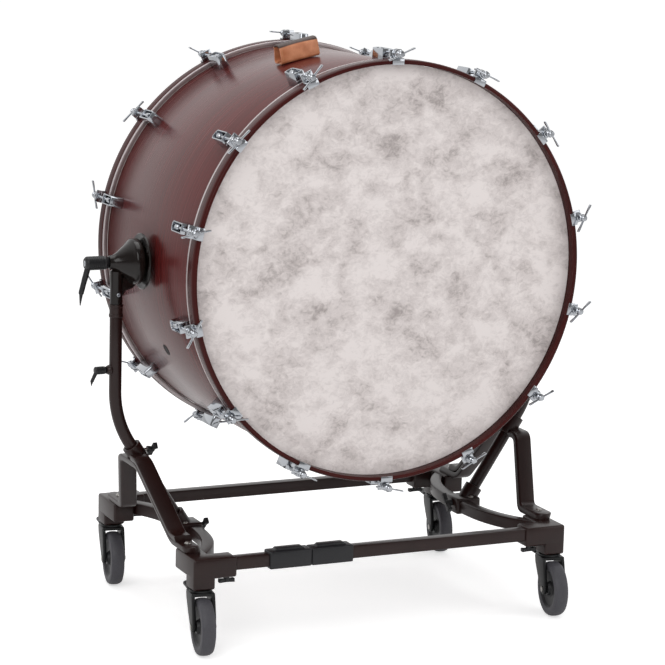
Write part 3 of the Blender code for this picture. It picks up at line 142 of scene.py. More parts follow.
# The shell: a deep cylinder of bent plywood with bearing edges turned at both ends, veneered with
# the grain running round it, stained red-brown and lacquered to a satin gloss.
TILT_AXIS = 0.813
SHELL_RADIUS = 0.4555
SHELL_END = 0.2795
SHELL_WALL = 0.009
HUB = Matrix.Translation((0, 0, TILT_AXIS))
FRONTWARD = HUB @ Matrix.Rotation(math.pi / 2, 4, "X")
REARWARD = HUB @ Matrix.Rotation(math.pi, 4, "Z") @ Matrix.Rotation(math.pi / 2, 4, "X")


def turned(profile, steps=96, ring=False):
    """A line of (radius, height) points turned about Z."""
    shape = bmesh.new()
    points = [shape.verts.new((radius, 0, height)) for radius, height in profile]
    pairs = list(zip(points, points[1:]))
    if ring:
        pairs.append((points[-1], points[0]))
    edges = [shape.edges.new(pair) for pair in pairs]
    bmesh.ops.spin(shape, geom=points + edges, cent=(0, 0, 0), axis=(0, 0, 1),
                   angle=2 * math.pi, steps=steps, use_merge=True)
    bmesh.ops.remove_doubles(shape, verts=shape.verts, dist=1e-6)
    bmesh.ops.recalc_face_normals(shape, faces=shape.faces)
    return shape


def softened(shape, width, segments=2, angle=30):
    """The shape with its sharp edges rounded over."""
    sharp = [edge for edge in shape.edges
             if edge.is_manifold and edge.calc_face_angle(0) > math.radians(angle)]
    bmesh.ops.bevel(shape, geom=sharp, offset=width, segments=segments, affect="EDGES",
                    profile=0.5, material=-1, clamp_overlap=True)
    return shape


def assembled(name, shapes, finish, body, nodes, sharp=32):
    """Puts shapes, each with its place, into one piece that rides on a body."""
    whole = bmesh.new()
    for shape, place in shapes:
        copy = shape.copy()
        bmesh.ops.dissolve_degenerate(copy, dist=2e-5, edges=copy.edges)
        bmesh.ops.transform(copy, matrix=place, verts=copy.verts)
        if place.determinant() < 0:
            bmesh.ops.reverse_faces(copy, faces=copy.faces)
        loose = bpy.data.meshes.new(name)
        copy.to_mesh(loose)
        copy.free()
        whole.from_mesh(loose)
        bpy.data.meshes.remove(loose)
    mesh = bpy.data.meshes.new(name)
    whole.to_mesh(mesh)
    whole.free()
    for one in finish if isinstance(finish, (list, tuple)) else [finish]:
        mesh.materials.append(one)
    mesh.shade_smooth()
    mesh.set_sharp_from_angle(angle=math.radians(sharp))
    made = bpy.data.objects.new(name, mesh)
    bpy.context.scene.collection.objects.link(made)
    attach(made, body)
    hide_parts(*nodes)
    return made


def wood_finish(name, dark, light, streaks, sheen):
    """Lacquered veneer: long streaks of stain that run round the drum, under a clear coat."""
    made, tree, shader = new_finish(name)
    where = add(tree, "ShaderNodeTexCoord")
    along = add(tree, "ShaderNodeMapping", values={"Scale": (2.2, streaks, 2.2)},
                links={"Vector": where.outputs["Object"]})
    grain = add(tree, "ShaderNodeTexNoise",
                values={"Scale": 1.0, "Detail": 8, "Roughness": 0.62, "Distortion": 0.15},
                links={"Vector": along.outputs[0]})
    patch = add(tree, "ShaderNodeTexNoise", values={"Scale": 3.0, "Detail": 3},
                links={"Vector": where.outputs["Object"]})
    blend = add(tree, "ShaderNodeMix", {"data_type": "FLOAT"}, {"Factor": 0.3},
                {"A": grain.outputs[0], "B": patch.outputs[0]})
    stain = add(tree, "ShaderNodeValToRGB", links={"Fac": blend.outputs[0]})
    stain.color_ramp.elements[0].position = 0.36
    stain.color_ramp.elements[0].color = tint(dark)
    stain.color_ramp.elements[1].position = 0.66
    stain.color_ramp.elements[1].color = tint(light)
    pores = add(tree, "ShaderNodeBump", values={"Strength": 0.05, "Distance": 0.0004},
                links={"Height": grain.outputs[0]})
    gloss = add(tree, "ShaderNodeMapRange", values={"To Min": 0.23, "To Max": 0.30},
                links={"Value": grain.outputs[0]})
    tree.links.new(stain.outputs[0], shader.inputs["Base Color"])
    tree.links.new(gloss.outputs[0], shader.inputs["Roughness"])
    tree.links.new(pores.outputs[0], shader.inputs["Normal"])
    shader.inputs["Specular IOR Level"].default_value = sheen
    return made


shell_veneer = wood_finish("lacquered_shell_veneer", "#451413", "#622423", 170, 0.27)
inner_fall = SHELL_END - 0.0065
shell = softened(turned([
    (SHELL_RADIUS, SHELL_END - 0.0025), (SHELL_RADIUS, 0.0025 - SHELL_END),
    (SHELL_RADIUS - 0.0025, -SHELL_END), (SHELL_RADIUS - SHELL_WALL, -inner_fall),
    (SHELL_RADIUS - SHELL_WALL, inner_fall), (SHELL_RADIUS - 0.0025, SHELL_END),
], 224, ring=True), 0.0004, 1)
assembled("drum_shell", [(shell, FRONTWARD)], shell_veneer, "drum", ["shell"])

# The air vent: a small eyelet pressed into the shell below the left spindle. Its hole is not
# cut: the black disc inside the rim is painted shade for the dark inside of the drum.
vent_turn = Matrix.Rotation(-math.radians(26.6), 4, "Y") @ Matrix.Rotation(-math.pi / 2, 4, "Y")
# Black finish: the eyelet rim's own black oxide, and painted shade on the vent's hole disc and the lug
# floors.
eyelet_and_painted_hollow_shade, tree, shader = new_finish("black_eyelet_and_painted_hollow_shade")
shader.inputs["Base Color"].default_value = tint("#0E0A0A")
shader.inputs["Roughness"].default_value = 0.7
where = add(tree, "ShaderNodeTexCoord")
specks = add(tree, "ShaderNodeTexNoise", values={"Scale": 900.0},
             links={"Vector": where.outputs["Object"]})
rough = add(tree, "ShaderNodeBump", values={"Strength": 0.1, "Distance": 0.0002},
            links={"Height": specks.outputs[0]})
tree.links.new(rough.outputs[0], shader.inputs["Normal"])
eyelet = turned([(0, SHELL_RADIUS + 0.0001), (0.0106, SHELL_RADIUS + 0.0001),
                 (0.0114, SHELL_RADIUS + 0.0007), (0.0128, SHELL_RADIUS + 0.0008),
                 (0.0136, SHELL_RADIUS + 0.0002), (0.0136, SHELL_RADIUS - 0.002),
                 (0, SHELL_RADIUS - 0.002)], 40)
assembled("air_vent_eyelet", [(eyelet, HUB @ vent_turn)], eyelet_and_painted_hollow_shade, "drum",
          ["shell"])


# The lugs: fourteen plated box castings near each end of the shell, open on top, in which the
# nut of each tension rod is seen. The floor of each pocket is black, painted shade.
LUGS = 14
LUG_ANGLES = [2 * math.pi * at / LUGS for at in range(LUGS)]
LUG_FRONT = SHELL_END - 0.026
LUG_LENGTH = 0.059
LUG_WIDTH = 0.026
LUG_TOP = SHELL_RADIUS + 0.031
LUG_CORNER = 0.008


def round_drum(angle, face=FRONTWARD):
    """The place of a shape that has +X away from the drum and +Z to that end of it."""
    return face @ Matrix.Rotation(math.pi / 2 - angle, 4, "Z")


def block(low, high, width=0.0, segments=2):
    """A box between two corners with rounded edges."""
    shape = bmesh.new()
    bmesh.ops.create_cube(shape, size=1)
    bmesh.ops.scale(shape, vec=[b - a for a, b in zip(low, high)], verts=shape.verts)
    bmesh.ops.translate(shape, vec=[(a + b) / 2 for a, b in zip(low, high)], verts=shape.verts)
    return softened(shape, width, segments) if width else shape


def plated_finish(name, colour, roughness):
    """Polished nickel-chrome plate: bright, with faint swirls from the polishing wheel."""
    made, tree, shader = new_finish(name)
    where = add(tree, "ShaderNodeTexCoord")
    swirl = add(tree, "ShaderNodeTexNoise", values={"Scale": 260.0, "Detail": 4},
                links={"Vector": where.outputs["Object"]})
    gloss = add(tree, "ShaderNodeMapRange",
                values={"To Min": roughness * 0.75, "To Max": roughness * 1.3},
                links={"Value": swirl.outputs[0]})
    tree.links.new(gloss.outputs[0], shader.inputs["Roughness"])
    shader.inputs["Base Color"].default_value = tint(colour)
    shader.inputs["Metallic"].default_value = 1.0
    return made


chrome_plate = plated_finish("polished_chrome_plate", "#B2B5BA", 0.11)
lug = block((SHELL_RADIUS - 0.002, -LUG_WIDTH / 2, LUG_FRONT - LUG_LENGTH),
            (LUG_TOP, LUG_WIDTH / 2, LUG_FRONT))
uprights = [edge for edge in lug.edges
            if abs(edge.verts[0].co.x - edge.verts[1].co.x) > 0.02
            and edge.verts[0].co.z < LUG_FRONT - 0.02]
bmesh.ops.bevel(lug, geom=uprights, offset=LUG_CORNER, segments=5, affect="EDGES", profile=0.5,
                material=-1)
lug_lid = [face for face in lug.faces if face.normal.x > 0.9]
bmesh.ops.scale(lug, vec=(1, 0.90, 0.97), space=Matrix.Translation((0, 0, LUG_LENGTH / 2 - LUG_FRONT)),
                verts=lug_lid[0].verts)
bmesh.ops.inset_region(lug, faces=lug_lid, thickness=0.0028, use_even_offset=True)
floor_of_lug = bmesh.ops.extrude_discrete_faces(lug, faces=lug_lid)["faces"]
bmesh.ops.translate(lug, vec=(-0.021, 0, 0), verts=floor_of_lug[0].verts)
# Painted shade: the pocket's floor takes the black finish for the dark inside of the lug.
floor_of_lug[0].material_index = 1
softened(lug, 0.0011, 2, 50)
lug_places = [round_drum(angle, face) for face in (FRONTWARD, REARWARD) for angle in LUG_ANGLES]
assembled("shell_lugs", [(lug, place) for place in lug_places], [chrome_plate, eyelet_and_painted_hollow_shade],
          "drum", ["shell"])

# The heads: cloudy film that looks like calfskin, stretched over each bearing edge. Its fibres
# gather in grey clouds some centimetres across, with a fine mottle inside them.
FILM_RADIUS = 0.4564
FILM_FACE = 0.2804
FILM_BACK = 0.2642
calf_film, tree, shader = new_finish("cloudy_fibre_film")
place = add(tree, "ShaderNodeTexCoord")
where = add(tree, "ShaderNodeMapping",
            values={"Rotation": (0, math.radians(48), 0), "Scale": (0.92, 1.0, 1.2)},
            links={"Vector": place.outputs["Object"]})
clouds = add(tree, "ShaderNodeTexNoise",
             values={"Scale": 13.0, "Detail": 7, "Roughness": 0.60, "Distortion": 0.35},
             links={"Vector": where.outputs[0]})
mottle = add(tree, "ShaderNodeTexNoise",
             values={"Scale": 66.0, "Detail": 8, "Roughness": 0.74, "Distortion": 1.0},
             links={"Vector": where.outputs[0]})
drift = add(tree, "ShaderNodeMix", {"data_type": "FLOAT"}, {"Factor": 0.40},
            {"A": clouds.outputs[0], "B": mottle.outputs[0]})
shade = add(tree, "ShaderNodeValToRGB", links={"Fac": drift.outputs[0]})
shade.color_ramp.elements[0].position = 0.36
shade.color_ramp.elements[0].color = tint("#A39A98")
shade.color_ramp.elements[1].position = 0.57
shade.color_ramp.elements[1].color = tint("#E6DEDC")
middle_tone = shade.color_ramp.elements.new(0.45)
middle_tone.color = tint("#CDC4C2")
fibre = add(tree, "ShaderNodeBump", values={"Strength": 0.08, "Distance": 0.0003},
            links={"Height": mottle.outputs[0]})
tree.links.new(shade.outputs[0], shader.inputs["Base Color"])
tree.links.new(fibre.outputs[0], shader.inputs["Normal"])
shader.inputs["Roughness"].default_value = 0.58
film = softened(turned([
    (0, FILM_FACE), (FILM_RADIUS, FILM_FACE), (FILM_RADIUS, FILM_BACK),
    (FILM_RADIUS - 0.0005, FILM_BACK), (FILM_RADIUS - 0.0005, FILM_FACE - 0.0006),
    (0, FILM_FACE - 0.0006),
], 224), 0.0002, 1)

# The flesh hoops: rolled aluminium channel that grips the film's edge, just behind the wooden
# hoop and flush with its outside.
RIM_INNER = 0.4569
RIM_OUTER = 0.4672
CHANNEL_FRONT = 0.2762
rolled_aluminium = plated_finish("rolled_aluminium_channel", "#C4BBBB", 0.42)
channel = softened(turned([
    (RIM_OUTER - 0.0008, 0.2722), (RIM_OUTER - 0.0008, FILM_BACK), (RIM_INNER, FILM_BACK),
    (RIM_INNER, 0.2722)], 224, ring=True), 0.0012, 3)

# The counterhoops: bent maple, stained like the shell, that press the flesh hoops down over the
# shell. Their edges are rounded over and their inside is seen from the front.
HOOP_FRONT = 0.3065
HOOP_BACK = 0.2725
hoop_veneer = wood_finish("lacquered_hoop_wood", "#300E0D", "#4A1917", 120, 0.12)
round_over = [(RIM_OUTER - 0.006 + 0.006 * math.cos(step * math.pi / 16),
               HOOP_FRONT - 0.010 + 0.010 * math.sin(step * math.pi / 16)) for step in range(9)]
hoop = softened(turned([(RIM_OUTER, HOOP_BACK), *round_over, (RIM_INNER, HOOP_FRONT),
                        (RIM_INNER, HOOP_BACK)], 224, ring=True), 0.0016, 3)
for end, face in (("front", FRONTWARD), ("rear", REARWARD)):
    assembled(f"{end}_film", [(film, face)], calf_film, "drum", [f"{end}_head"])
    assembled(f"{end}_channel", [(channel, face)], rolled_aluminium, "drum",
              [f"{end}_flesh_hoop"])
    assembled(f"{end}_hoop", [(hoop, face)], hoop_veneer, "drum",
              [f"{end}_counterhoop"])


# The claws: folded, plated steel that hooks over the hoop's front edge and reaches out with an
# ear for the rod.
ROD_CIRCLE = SHELL_RADIUS + 0.0245
CLAW_WIDTH = 0.028
EAR_FRONT = HOOP_FRONT - 0.012


def plate(outline, thickness, width=0.0, segments=2):
    """A flat outline in XY with a thickness centred on Z = 0 and rounded edges."""
    shape = bmesh.new()
    corners = [shape.verts.new((x, y, -thickness / 2)) for x, y in outline]
    face = shape.faces.new(corners)
    lid = bmesh.ops.extrude_face_region(shape, geom=[face])["geom"]
    bmesh.ops.translate(shape, vec=(0, 0, thickness),
                        verts=[item for item in lid if isinstance(item, bmesh.types.BMVert)])
    bmesh.ops.recalc_face_normals(shape, faces=shape.faces)
    return softened(shape, width, segments) if width else shape


claw = plate([
    (RIM_OUTER - 0.0118, HOOP_FRONT + 0.0003), (RIM_OUTER - 0.0118, HOOP_FRONT + 0.0028),
    (RIM_OUTER + 0.0010, HOOP_FRONT + 0.0028), (RIM_OUTER + 0.0030, HOOP_FRONT + 0.0010),
    (RIM_OUTER + 0.0030, EAR_FRONT + 0.003), (RIM_OUTER + 0.0050, EAR_FRONT),
    (ROD_CIRCLE + 0.0070, EAR_FRONT), (ROD_CIRCLE + 0.0090, EAR_FRONT - 0.0016),
    (ROD_CIRCLE + 0.0085, EAR_FRONT - 0.0040), (RIM_OUTER + 0.0004, EAR_FRONT - 0.0040),
    (RIM_OUTER + 0.0004, HOOP_FRONT + 0.0003),
], CLAW_WIDTH, 0.0008)
claw_stand = Matrix.Rotation(math.pi / 2, 4, "X")
for end, face in (("front", FRONTWARD), ("rear", REARWARD)):
    assembled(f"{end}_claws", [(claw, round_drum(angle, face) @ claw_stand)
                               for angle in LUG_ANGLES],
              chrome_plate, "drum", [f"{end}_counterhoop"])

# The tension rods: plated steel rods, each with a cylindrical nut in its lug and a drop-forged
# T-handle with thin flared wings. Each handle stands as it was left.
ROD_RADIUS = 0.0035
NUT_FRONT = SHELL_END - 0.0525
HUB_FRONT = HOOP_FRONT + 0.013
HANDLE_TURNS = (27, -21, -53, 68, 46, 29, 32, -9, -21, 6, 65, 15, 49, 56)
REAR_HANDLE_TURNS = (10, 30, -40, 85, 60, 20, -30, 5, 40, 70, -15, 35, -60, 25)
rod = turned([
    (0, HUB_FRONT + 0.0085), (0.0048, HUB_FRONT + 0.0082), (0.0066, HUB_FRONT + 0.0068),
    (0.0070, HUB_FRONT + 0.0010), (0.0086, HUB_FRONT - 0.0006), (0.0086, HUB_FRONT - 0.0052),
    (0.0074, HUB_FRONT - 0.0060), (0.0074, HUB_FRONT - 0.0120), (0.0090, HUB_FRONT - 0.0128),
    (0.0090, EAR_FRONT + 0.0030), (0.0100, EAR_FRONT + 0.0024), (0.0100, EAR_FRONT + 0.0004),
    (ROD_RADIUS, EAR_FRONT + 0.0004), (ROD_RADIUS, NUT_FRONT), (0.0052, NUT_FRONT - 0.0005),
    (0.0066, NUT_FRONT - 0.0017), (0.0066, NUT_FRONT - 0.0150), (0.0054, NUT_FRONT - 0.0165),
    (0, NUT_FRONT - 0.0165),
], 28)
half_wing = [(0, 0.0030), (0.010, 0.0026), (0.020, 0.0032), (0.029, 0.0043), (0.0325, 0.0042),
             (0.0340, 0.0030)]
wing_outline = half_wing + [(x, -y) for x, y in reversed(half_wing[1:])]
wing_outline += [(-x, -y) for x, y in half_wing] + [(-x, y) for x, y in reversed(half_wing[1:])]
wing = plate([(x, y) for x, y in wing_outline], 0.0034, 0.0009)
wing_stand = Matrix.Translation((0, 0, HUB_FRONT + 0.0045)) @ Matrix.Rotation(math.pi / 2, 4, "X")
for vert in wing.verts:
    vert.co.z += 0.0022 * math.sin(vert.co.x / 0.034 * math.pi * 0.5) * abs(vert.co.x) / 0.034


def rod_place(angle, turn, half_turn):
    """A rod's place round the drum, its handle turned from +X toward +Z."""
    out = Vector((math.sin(angle), 0, math.cos(angle))) * ROD_CIRCLE
    return (HUB @ half_turn @ Matrix.Translation(out)
            @ Matrix.Rotation(-math.radians(turn), 4, "Y") @ Matrix.Rotation(math.pi / 2, 4, "X"))


for number, (angle, turn) in enumerate(zip(LUG_ANGLES, HANDLE_TURNS), start=1):
    place = rod_place(angle, turn, Matrix.Identity(4))
    assembled(f"front_rod_{number:02d}", [(rod, place), (wing, place @ wing_stand)],
              chrome_plate, f"front_tension_rod_{number:02d}",
              [f"front_tension_rod_{number:02d}"])
rear_places = [rod_place(angle, turn, Matrix.Rotation(math.pi, 4, "Z"))
               for angle, turn in zip(LUG_ANGLES, REAR_HANDLE_TURNS)]
assembled("rear_rods", [(rod, place) for place in rear_places]
          + [(wing, place @ wing_stand) for place in rear_places],
          chrome_plate, "drum", ["rear_counterhoop"])

# The carrying strap: one band of thick tan hide bent into a loop, its feet turned in and
# screwed to the shell, stitched along both edges. The top of the loop is dyed darker.
STRAP_ANGLE = math.radians(-13)
STRAP_WIDTH = 0.095
STRAP_HALF_DEPTH = 0.0205
STRAP_RISE = 0.045
hide, tree, shader = new_finish("tan_bridle_hide")
where = add(tree, "ShaderNodeTexCoord")
centred = add(tree, "ShaderNodeVectorMath", {"operation": "SUBTRACT"},
              {1: (0, 0, TILT_AXIS)}, {0: where.outputs["Object"]})
across = add(tree, "ShaderNodeVectorMath", {"operation": "MULTIPLY"}, {1: (1, 0, 1)},
             {0: centred.outputs[0]})
rise = add(tree, "ShaderNodeVectorMath", {"operation": "LENGTH"}, {}, {0: across.outputs[0]})
pull = add(tree, "ShaderNodeTexNoise", values={"Scale": 45.0, "Detail": 5},
           links={"Vector": where.outputs["Object"]})
tan_range = add(tree, "ShaderNodeValToRGB", links={"Fac": pull.outputs[0]})
tan_range.color_ramp.elements[0].position = 0.3
tan_range.color_ramp.elements[0].color = tint("#B76F49")
tan_range.color_ramp.elements[1].position = 0.7
tan_range.color_ramp.elements[1].color = tint("#DA9670")
edge_dye = add(tree, "ShaderNodeMapRange",
               values={"From Min": SHELL_RADIUS + STRAP_RISE - 0.0062,
                       "From Max": SHELL_RADIUS + STRAP_RISE - 0.0040},
               links={"Value": rise.outputs["Value"]})
dyed = add(tree, "ShaderNodeMix", {"data_type": "RGBA"}, {"B": tint("#3E2A24")},
           {"Factor": edge_dye.outputs[0], "A": tan_range.outputs[0]})
hide_grain = add(tree, "ShaderNodeTexVoronoi", values={"Scale": 900.0},
                 links={"Vector": where.outputs["Object"]})
grain_bump = add(tree, "ShaderNodeBump", values={"Strength": 0.25, "Distance": 0.0003},
                 links={"Height": hide_grain.outputs[0]})
tree.links.new(dyed.outputs["Result"], shader.inputs["Base Color"])
tree.links.new(grain_bump.outputs[0], shader.inputs["Normal"])
shader.inputs["Roughness"].default_value = 0.48


def swept(section, stations):
    """A closed section in XY carried through a list of places."""
    shape = bmesh.new()
    ring = [shape.verts.new((x, y, 0)) for x, y in section]
    end = shape.faces.new(ring)
    bmesh.ops.transform(shape, matrix=stations[0], verts=ring)
    before = stations[0]
    for step, place in enumerate(stations[1:]):
        grown = bmesh.ops.extrude_face_region(shape, geom=[end])["geom"]
        if step:
            bmesh.ops.delete(shape, geom=[end], context="FACES_ONLY")
        moved = [item for item in grown if isinstance(item, bmesh.types.BMVert)]
        end = next(item for item in grown if isinstance(item, bmesh.types.BMFace))
        bmesh.ops.transform(shape, matrix=place @ before.inverted(), verts=moved)
        before = place
    bmesh.ops.recalc_face_normals(shape, faces=shape.faces)
    return shape


def rounded_line(points, radius, steps=6):
    """A line of 2-D points with each inner corner turned into an arc."""
    line = [Vector(points[0])]
    for before, corner, after in zip(points, points[1:], points[2:]):
        corner = Vector(corner)
        into = (Vector(before) - corner).normalized()
        out = (Vector(after) - corner).normalized()
        opening = into.angle(out)
        if opening > math.pi - 0.01:
            line.append(corner)
            continue
        reach = min(radius / math.tan(opening / 2), (Vector(before) - corner).length * 0.49,
                    (Vector(after) - corner).length * 0.49)
        start, finish = corner + into * reach, corner + out * reach
        for step in range(steps + 1):
            share = step / steps
            line.append(start.lerp(corner, share).lerp(corner.lerp(finish, share), share))
    line.append(Vector(points[-1]))
    return line


def stations_along(line, up_axis):
    """A place at each point of a 3-D line, +Z along it, +X on the given side."""
    places = []
    for index, here in enumerate(line):
        ahead = line[min(index + 1, len(line) - 1)] - line[max(index - 1, 0)]
        along = ahead.normalized()
        side = (Vector(up_axis) - along * along.dot(Vector(up_axis))).normalized()
        other = along.cross(side)
        turn = Matrix((side, other, along)).transposed().to_4x4()
        places.append(Matrix.Translation(here) @ turn)
    return places


def rounded_box_section(width, height, corner, steps=3):
    """A rectangle with rounded corners as a closed line in XY."""
    line = []
    for quarter, (sx, sy) in enumerate(((1, 1), (-1, 1), (-1, -1), (1, -1))):
        middle = Vector((sx * (width / 2 - corner), sy * (height / 2 - corner)))
        for step in range(steps + 1):
            turn = math.pi / 2 * (quarter + step / steps)
            line.append(middle + Vector((math.cos(turn), math.sin(turn))) * corner)
    return line


strap_line = rounded_line([
    (SHELL_RADIUS + 0.0023, 0.006), (SHELL_RADIUS + 0.0023, STRAP_HALF_DEPTH),
    (SHELL_RADIUS + STRAP_RISE - 0.002, STRAP_HALF_DEPTH),
    (SHELL_RADIUS + STRAP_RISE - 0.002, 0.014 - STRAP_HALF_DEPTH),
    (SHELL_RADIUS + 0.0023, -STRAP_HALF_DEPTH), (SHELL_RADIUS + 0.0023, -0.006)], 0.011, 8)
strap_stations = stations_along([Vector((r, 0, along)) for r, along in strap_line], (0, 1, 0))
strap = swept(rounded_box_section(STRAP_WIDTH, 0.0038, 0.0012), strap_stations)
strap_place = round_drum(STRAP_ANGLE)
assembled("carrying_strap_hide", [(strap, strap_place)], hide, "drum",
          ["carrying_strap"])
stitch_thread, tree, shader = new_finish("waxed_linen_thread")
shader.inputs["Base Color"].default_value = tint("#C79A6A")
shader.inputs["Roughness"].default_value = 0.7
where = add(tree, "ShaderNodeTexCoord")
twist = add(tree, "ShaderNodeTexNoise", values={"Scale": 1400.0},
            links={"Vector": where.outputs["Object"]})
twist_bump = add(tree, "ShaderNodeBump", values={"Strength": 0.3, "Distance": 0.0002},
                 links={"Height": twist.outputs[0]})
tree.links.new(twist_bump.outputs[0], shader.inputs["Normal"])
stitch = bmesh.new()
bmesh.ops.create_uvsphere(stitch, u_segments=8, v_segments=6, radius=0.5)
bmesh.ops.scale(stitch, vec=(0.0010, 0.0010, 0.0036), verts=stitch.verts)
stitches = []
for front in (1, -1):
    for edge in (-1, 1):
        for step in range(7):
            rise_at = 0.0075 + step * 0.0048
            spot = Matrix.Translation((SHELL_RADIUS + rise_at, edge * (STRAP_WIDTH / 2 - 0.005),
                                       front * (STRAP_HALF_DEPTH + 0.0019)))
            stitches.append((stitch, strap_place @ spot @ Matrix.Rotation(math.pi / 2, 4, "Y")))
assembled("strap_stitches", stitches, stitch_thread, "drum",
          ["carrying_strap"])

# The spindles: a turned steel disc and boss screwed through each side of the shell to a backing
# plate inside, with the shaft on which the drum tilts. Coated dark bronze like the stand.
LEFTWARD = HUB @ Matrix.Rotation(-math.pi / 2, 4, "Y")
RIGHTWARD = HUB @ Matrix.Rotation(math.pi / 2, 4, "Y")
SIDES = (("left", LEFTWARD, -1), ("right", RIGHTWARD, 1))


def bronze_coat(name, colour, roughness):
    """Textured powder coat in dark bronze: a dull sheen with a fine pebble."""
    made, tree, shader = new_finish(name)
    where = add(tree, "ShaderNodeTexCoord")
    pebble = add(tree, "ShaderNodeTexNoise", values={"Scale": 700.0, "Detail": 3},
                 links={"Vector": where.outputs["Object"]})
    cloud = add(tree, "ShaderNodeTexNoise", values={"Scale": 18.0, "Detail": 4},
                links={"Vector": where.outputs["Object"]})
    tone = add(tree, "ShaderNodeValToRGB", links={"Fac": cloud.outputs[0]})
    tone.color_ramp.elements[0].position = 0.3
    tone.color_ramp.elements[0].color = tint(colour)
    tone.color_ramp.elements[1].position = 0.75
    tone.color_ramp.elements[1].color = [min(1, c * 1.35) for c in tint(colour)]
    bump = add(tree, "ShaderNodeBump", values={"Strength": 0.10, "Distance": 0.0003},
               links={"Height": pebble.outputs[0]})
    gloss = add(tree, "ShaderNodeMapRange",
                values={"To Min": roughness - 0.06, "To Max": roughness + 0.08},
                links={"Value": pebble.outputs[0]})
    tree.links.new(tone.outputs[0], shader.inputs["Base Color"])
    tree.links.new(gloss.outputs[0], shader.inputs["Roughness"])
    tree.links.new(bump.outputs[0], shader.inputs["Normal"])
    shader.inputs["Specular IOR Level"].default_value = 0.36
    return made


bronze = bronze_coat("dark_bronze_powder_coat", "#21110F", 0.30)
bell_bronze = bronze_coat("smooth_dark_bronze_coat", "#120C0A", 0.17)
spindle = turned([
    (0, 0.5362), (0.0108, 0.5362), (0.0118, 0.5352), (0.0118, 0.4740), (0.0200, 0.4736),
    (0.0235, 0.4722), (0.0500, 0.4712), (0.0560, 0.4728), (0.0606, 0.4730), (0.0628, 0.4716),
    (0.0630, 0.4696), (0.0618, 0.4682), (0.0300, 0.4680), (0.0190, 0.4660), (0.0180, 0.4600),
    (0.0180, SHELL_RADIUS - 0.001), (0, SHELL_RADIUS - 0.001)], 112)
for side, outward, sign in SIDES:
    assembled(f"{side}_spindle_disc", [(spindle, outward)], bell_bronze, "drum",
              [f"{side}_tilt_spindle"])
    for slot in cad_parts[f"{side}_backing_plate"].material_slots:
        slot.material = rolled_aluminium

# The trunnion housings: bell-shaped castings that carry the spindles, each on a short stem whose
# thinner post slides in the upright tube for height.
STEM_X = 0.528
COLLAR_TOP = 0.719
POST_BOTTOM = 0.528
bell = turned([
    (0.0118, 0.5468), (0.0140, 0.5468), (0.0150, 0.5458), (0.0158, 0.5400), (0.0178, 0.5340),
    (0.0222, 0.5270), (0.0282, 0.5195), (0.0350, 0.5110), (0.0415, 0.5035), (0.0462, 0.4990),
    (0.0492, 0.4968), (0.0506, 0.4945), (0.0510, 0.4910), (0.0510, 0.4800), (0.0503, 0.4788),
    (0.0490, 0.4785), (0.0472, 0.4790), (0.0468, 0.4810), (0.0462, 0.4915), (0.0290, 0.5095),
    (0.0166, 0.5165), (0.0124, 0.5166), (0.0124, 0.5372), (0.0118, 0.5375)], 112, ring=True)
stem = turned([
    (0, TILT_AXIS - 0.0165), (0.0100, TILT_AXIS - 0.0165), (0.0150, TILT_AXIS - 0.0200),
    (0.0146, TILT_AXIS - 0.0400), (0.0140, TILT_AXIS - 0.0480), (0.0140, COLLAR_TOP + 0.0010),
    (0.0130, COLLAR_TOP + 0.0003), (0.0110, COLLAR_TOP + 0.0003), (0.0110, POST_BOTTOM + 0.001),
    (0.0100, POST_BOTTOM), (0, POST_BOTTOM)], 48)
lobe = softened(plate([(0.000, -0.076), (0.000, -0.030), (0.030, -0.036), (0.044, -0.047),
                       (0.043, -0.053), (0.034, -0.060), (0.020, -0.064), (0.014, -0.074)],
                      0.016), 0.004, 3)
grub_screw = softened(turned([(0, 0.0055), (0.0042, 0.0055), (0.0046, 0.0045), (0.0046, 0),
                              (0, 0)], 20), 0.0004, 1)
for side, outward, sign in SIDES:
    inward = HUB @ Matrix.Translation((sign * STEM_X, 0, 0)) @ Matrix.Scale(-sign, 4, (1, 0, 0))
    upright_place = Matrix.Translation((sign * STEM_X, 0, 0))
    assembled(f"{side}_bell_housing",
              [(bell, outward), (stem, upright_place),
               (lobe, inward @ Matrix.Rotation(math.pi / 2, 4, "X"))],
              bell_bronze, f"{side}_carriage", [f"{side}_trunnion_housing"])
    face = Matrix.Translation((sign * STEM_X, -0.0132, 0.742)) @ Matrix.Rotation(math.pi / 2, 4, "X")
    assembled(f"{side}_stem_screw", [(grub_screw, face)], chrome_plate, f"{side}_carriage",
              [f"{side}_trunnion_housing"])


# The clamping levers: glass-filled nylon handles with a ribbed hub and a swept arm, one on each
# housing for tilt and a small one on each upright for height.
def moulded_finish(name, colour, roughness, pebble_size):
    """Spark-eroded nylon: black, even, with a fine matt texture."""
    made, tree, shader = new_finish(name)
    where = add(tree, "ShaderNodeTexCoord")
    pebble = add(tree, "ShaderNodeTexNoise", values={"Scale": pebble_size, "Detail": 4},
                 links={"Vector": where.outputs["Object"]})
    tone = add(tree, "ShaderNodeValToRGB", links={"Fac": pebble.outputs[0]})
    tone.color_ramp.elements[0].color = [c * 0.8 for c in tint(colour)[:3]] + [1]
    tone.color_ramp.elements[1].color = [min(1, c * 1.25) for c in tint(colour)[:3]] + [1]
    bump = add(tree, "ShaderNodeBump", values={"Strength": 0.14, "Distance": 0.0003},
               links={"Height": pebble.outputs[0]})
    tree.links.new(tone.outputs[0], shader.inputs["Base Color"])
    tree.links.new(bump.outputs[0], shader.inputs["Normal"])
    shader.inputs["Roughness"].default_value = roughness
    shader.inputs["Specular IOR Level"].default_value = 0.4
    return made


nylon = moulded_finish("black_glass_filled_nylon", "#1C1C1E", 0.42, 600.0)
BELL_TIP = 0.547


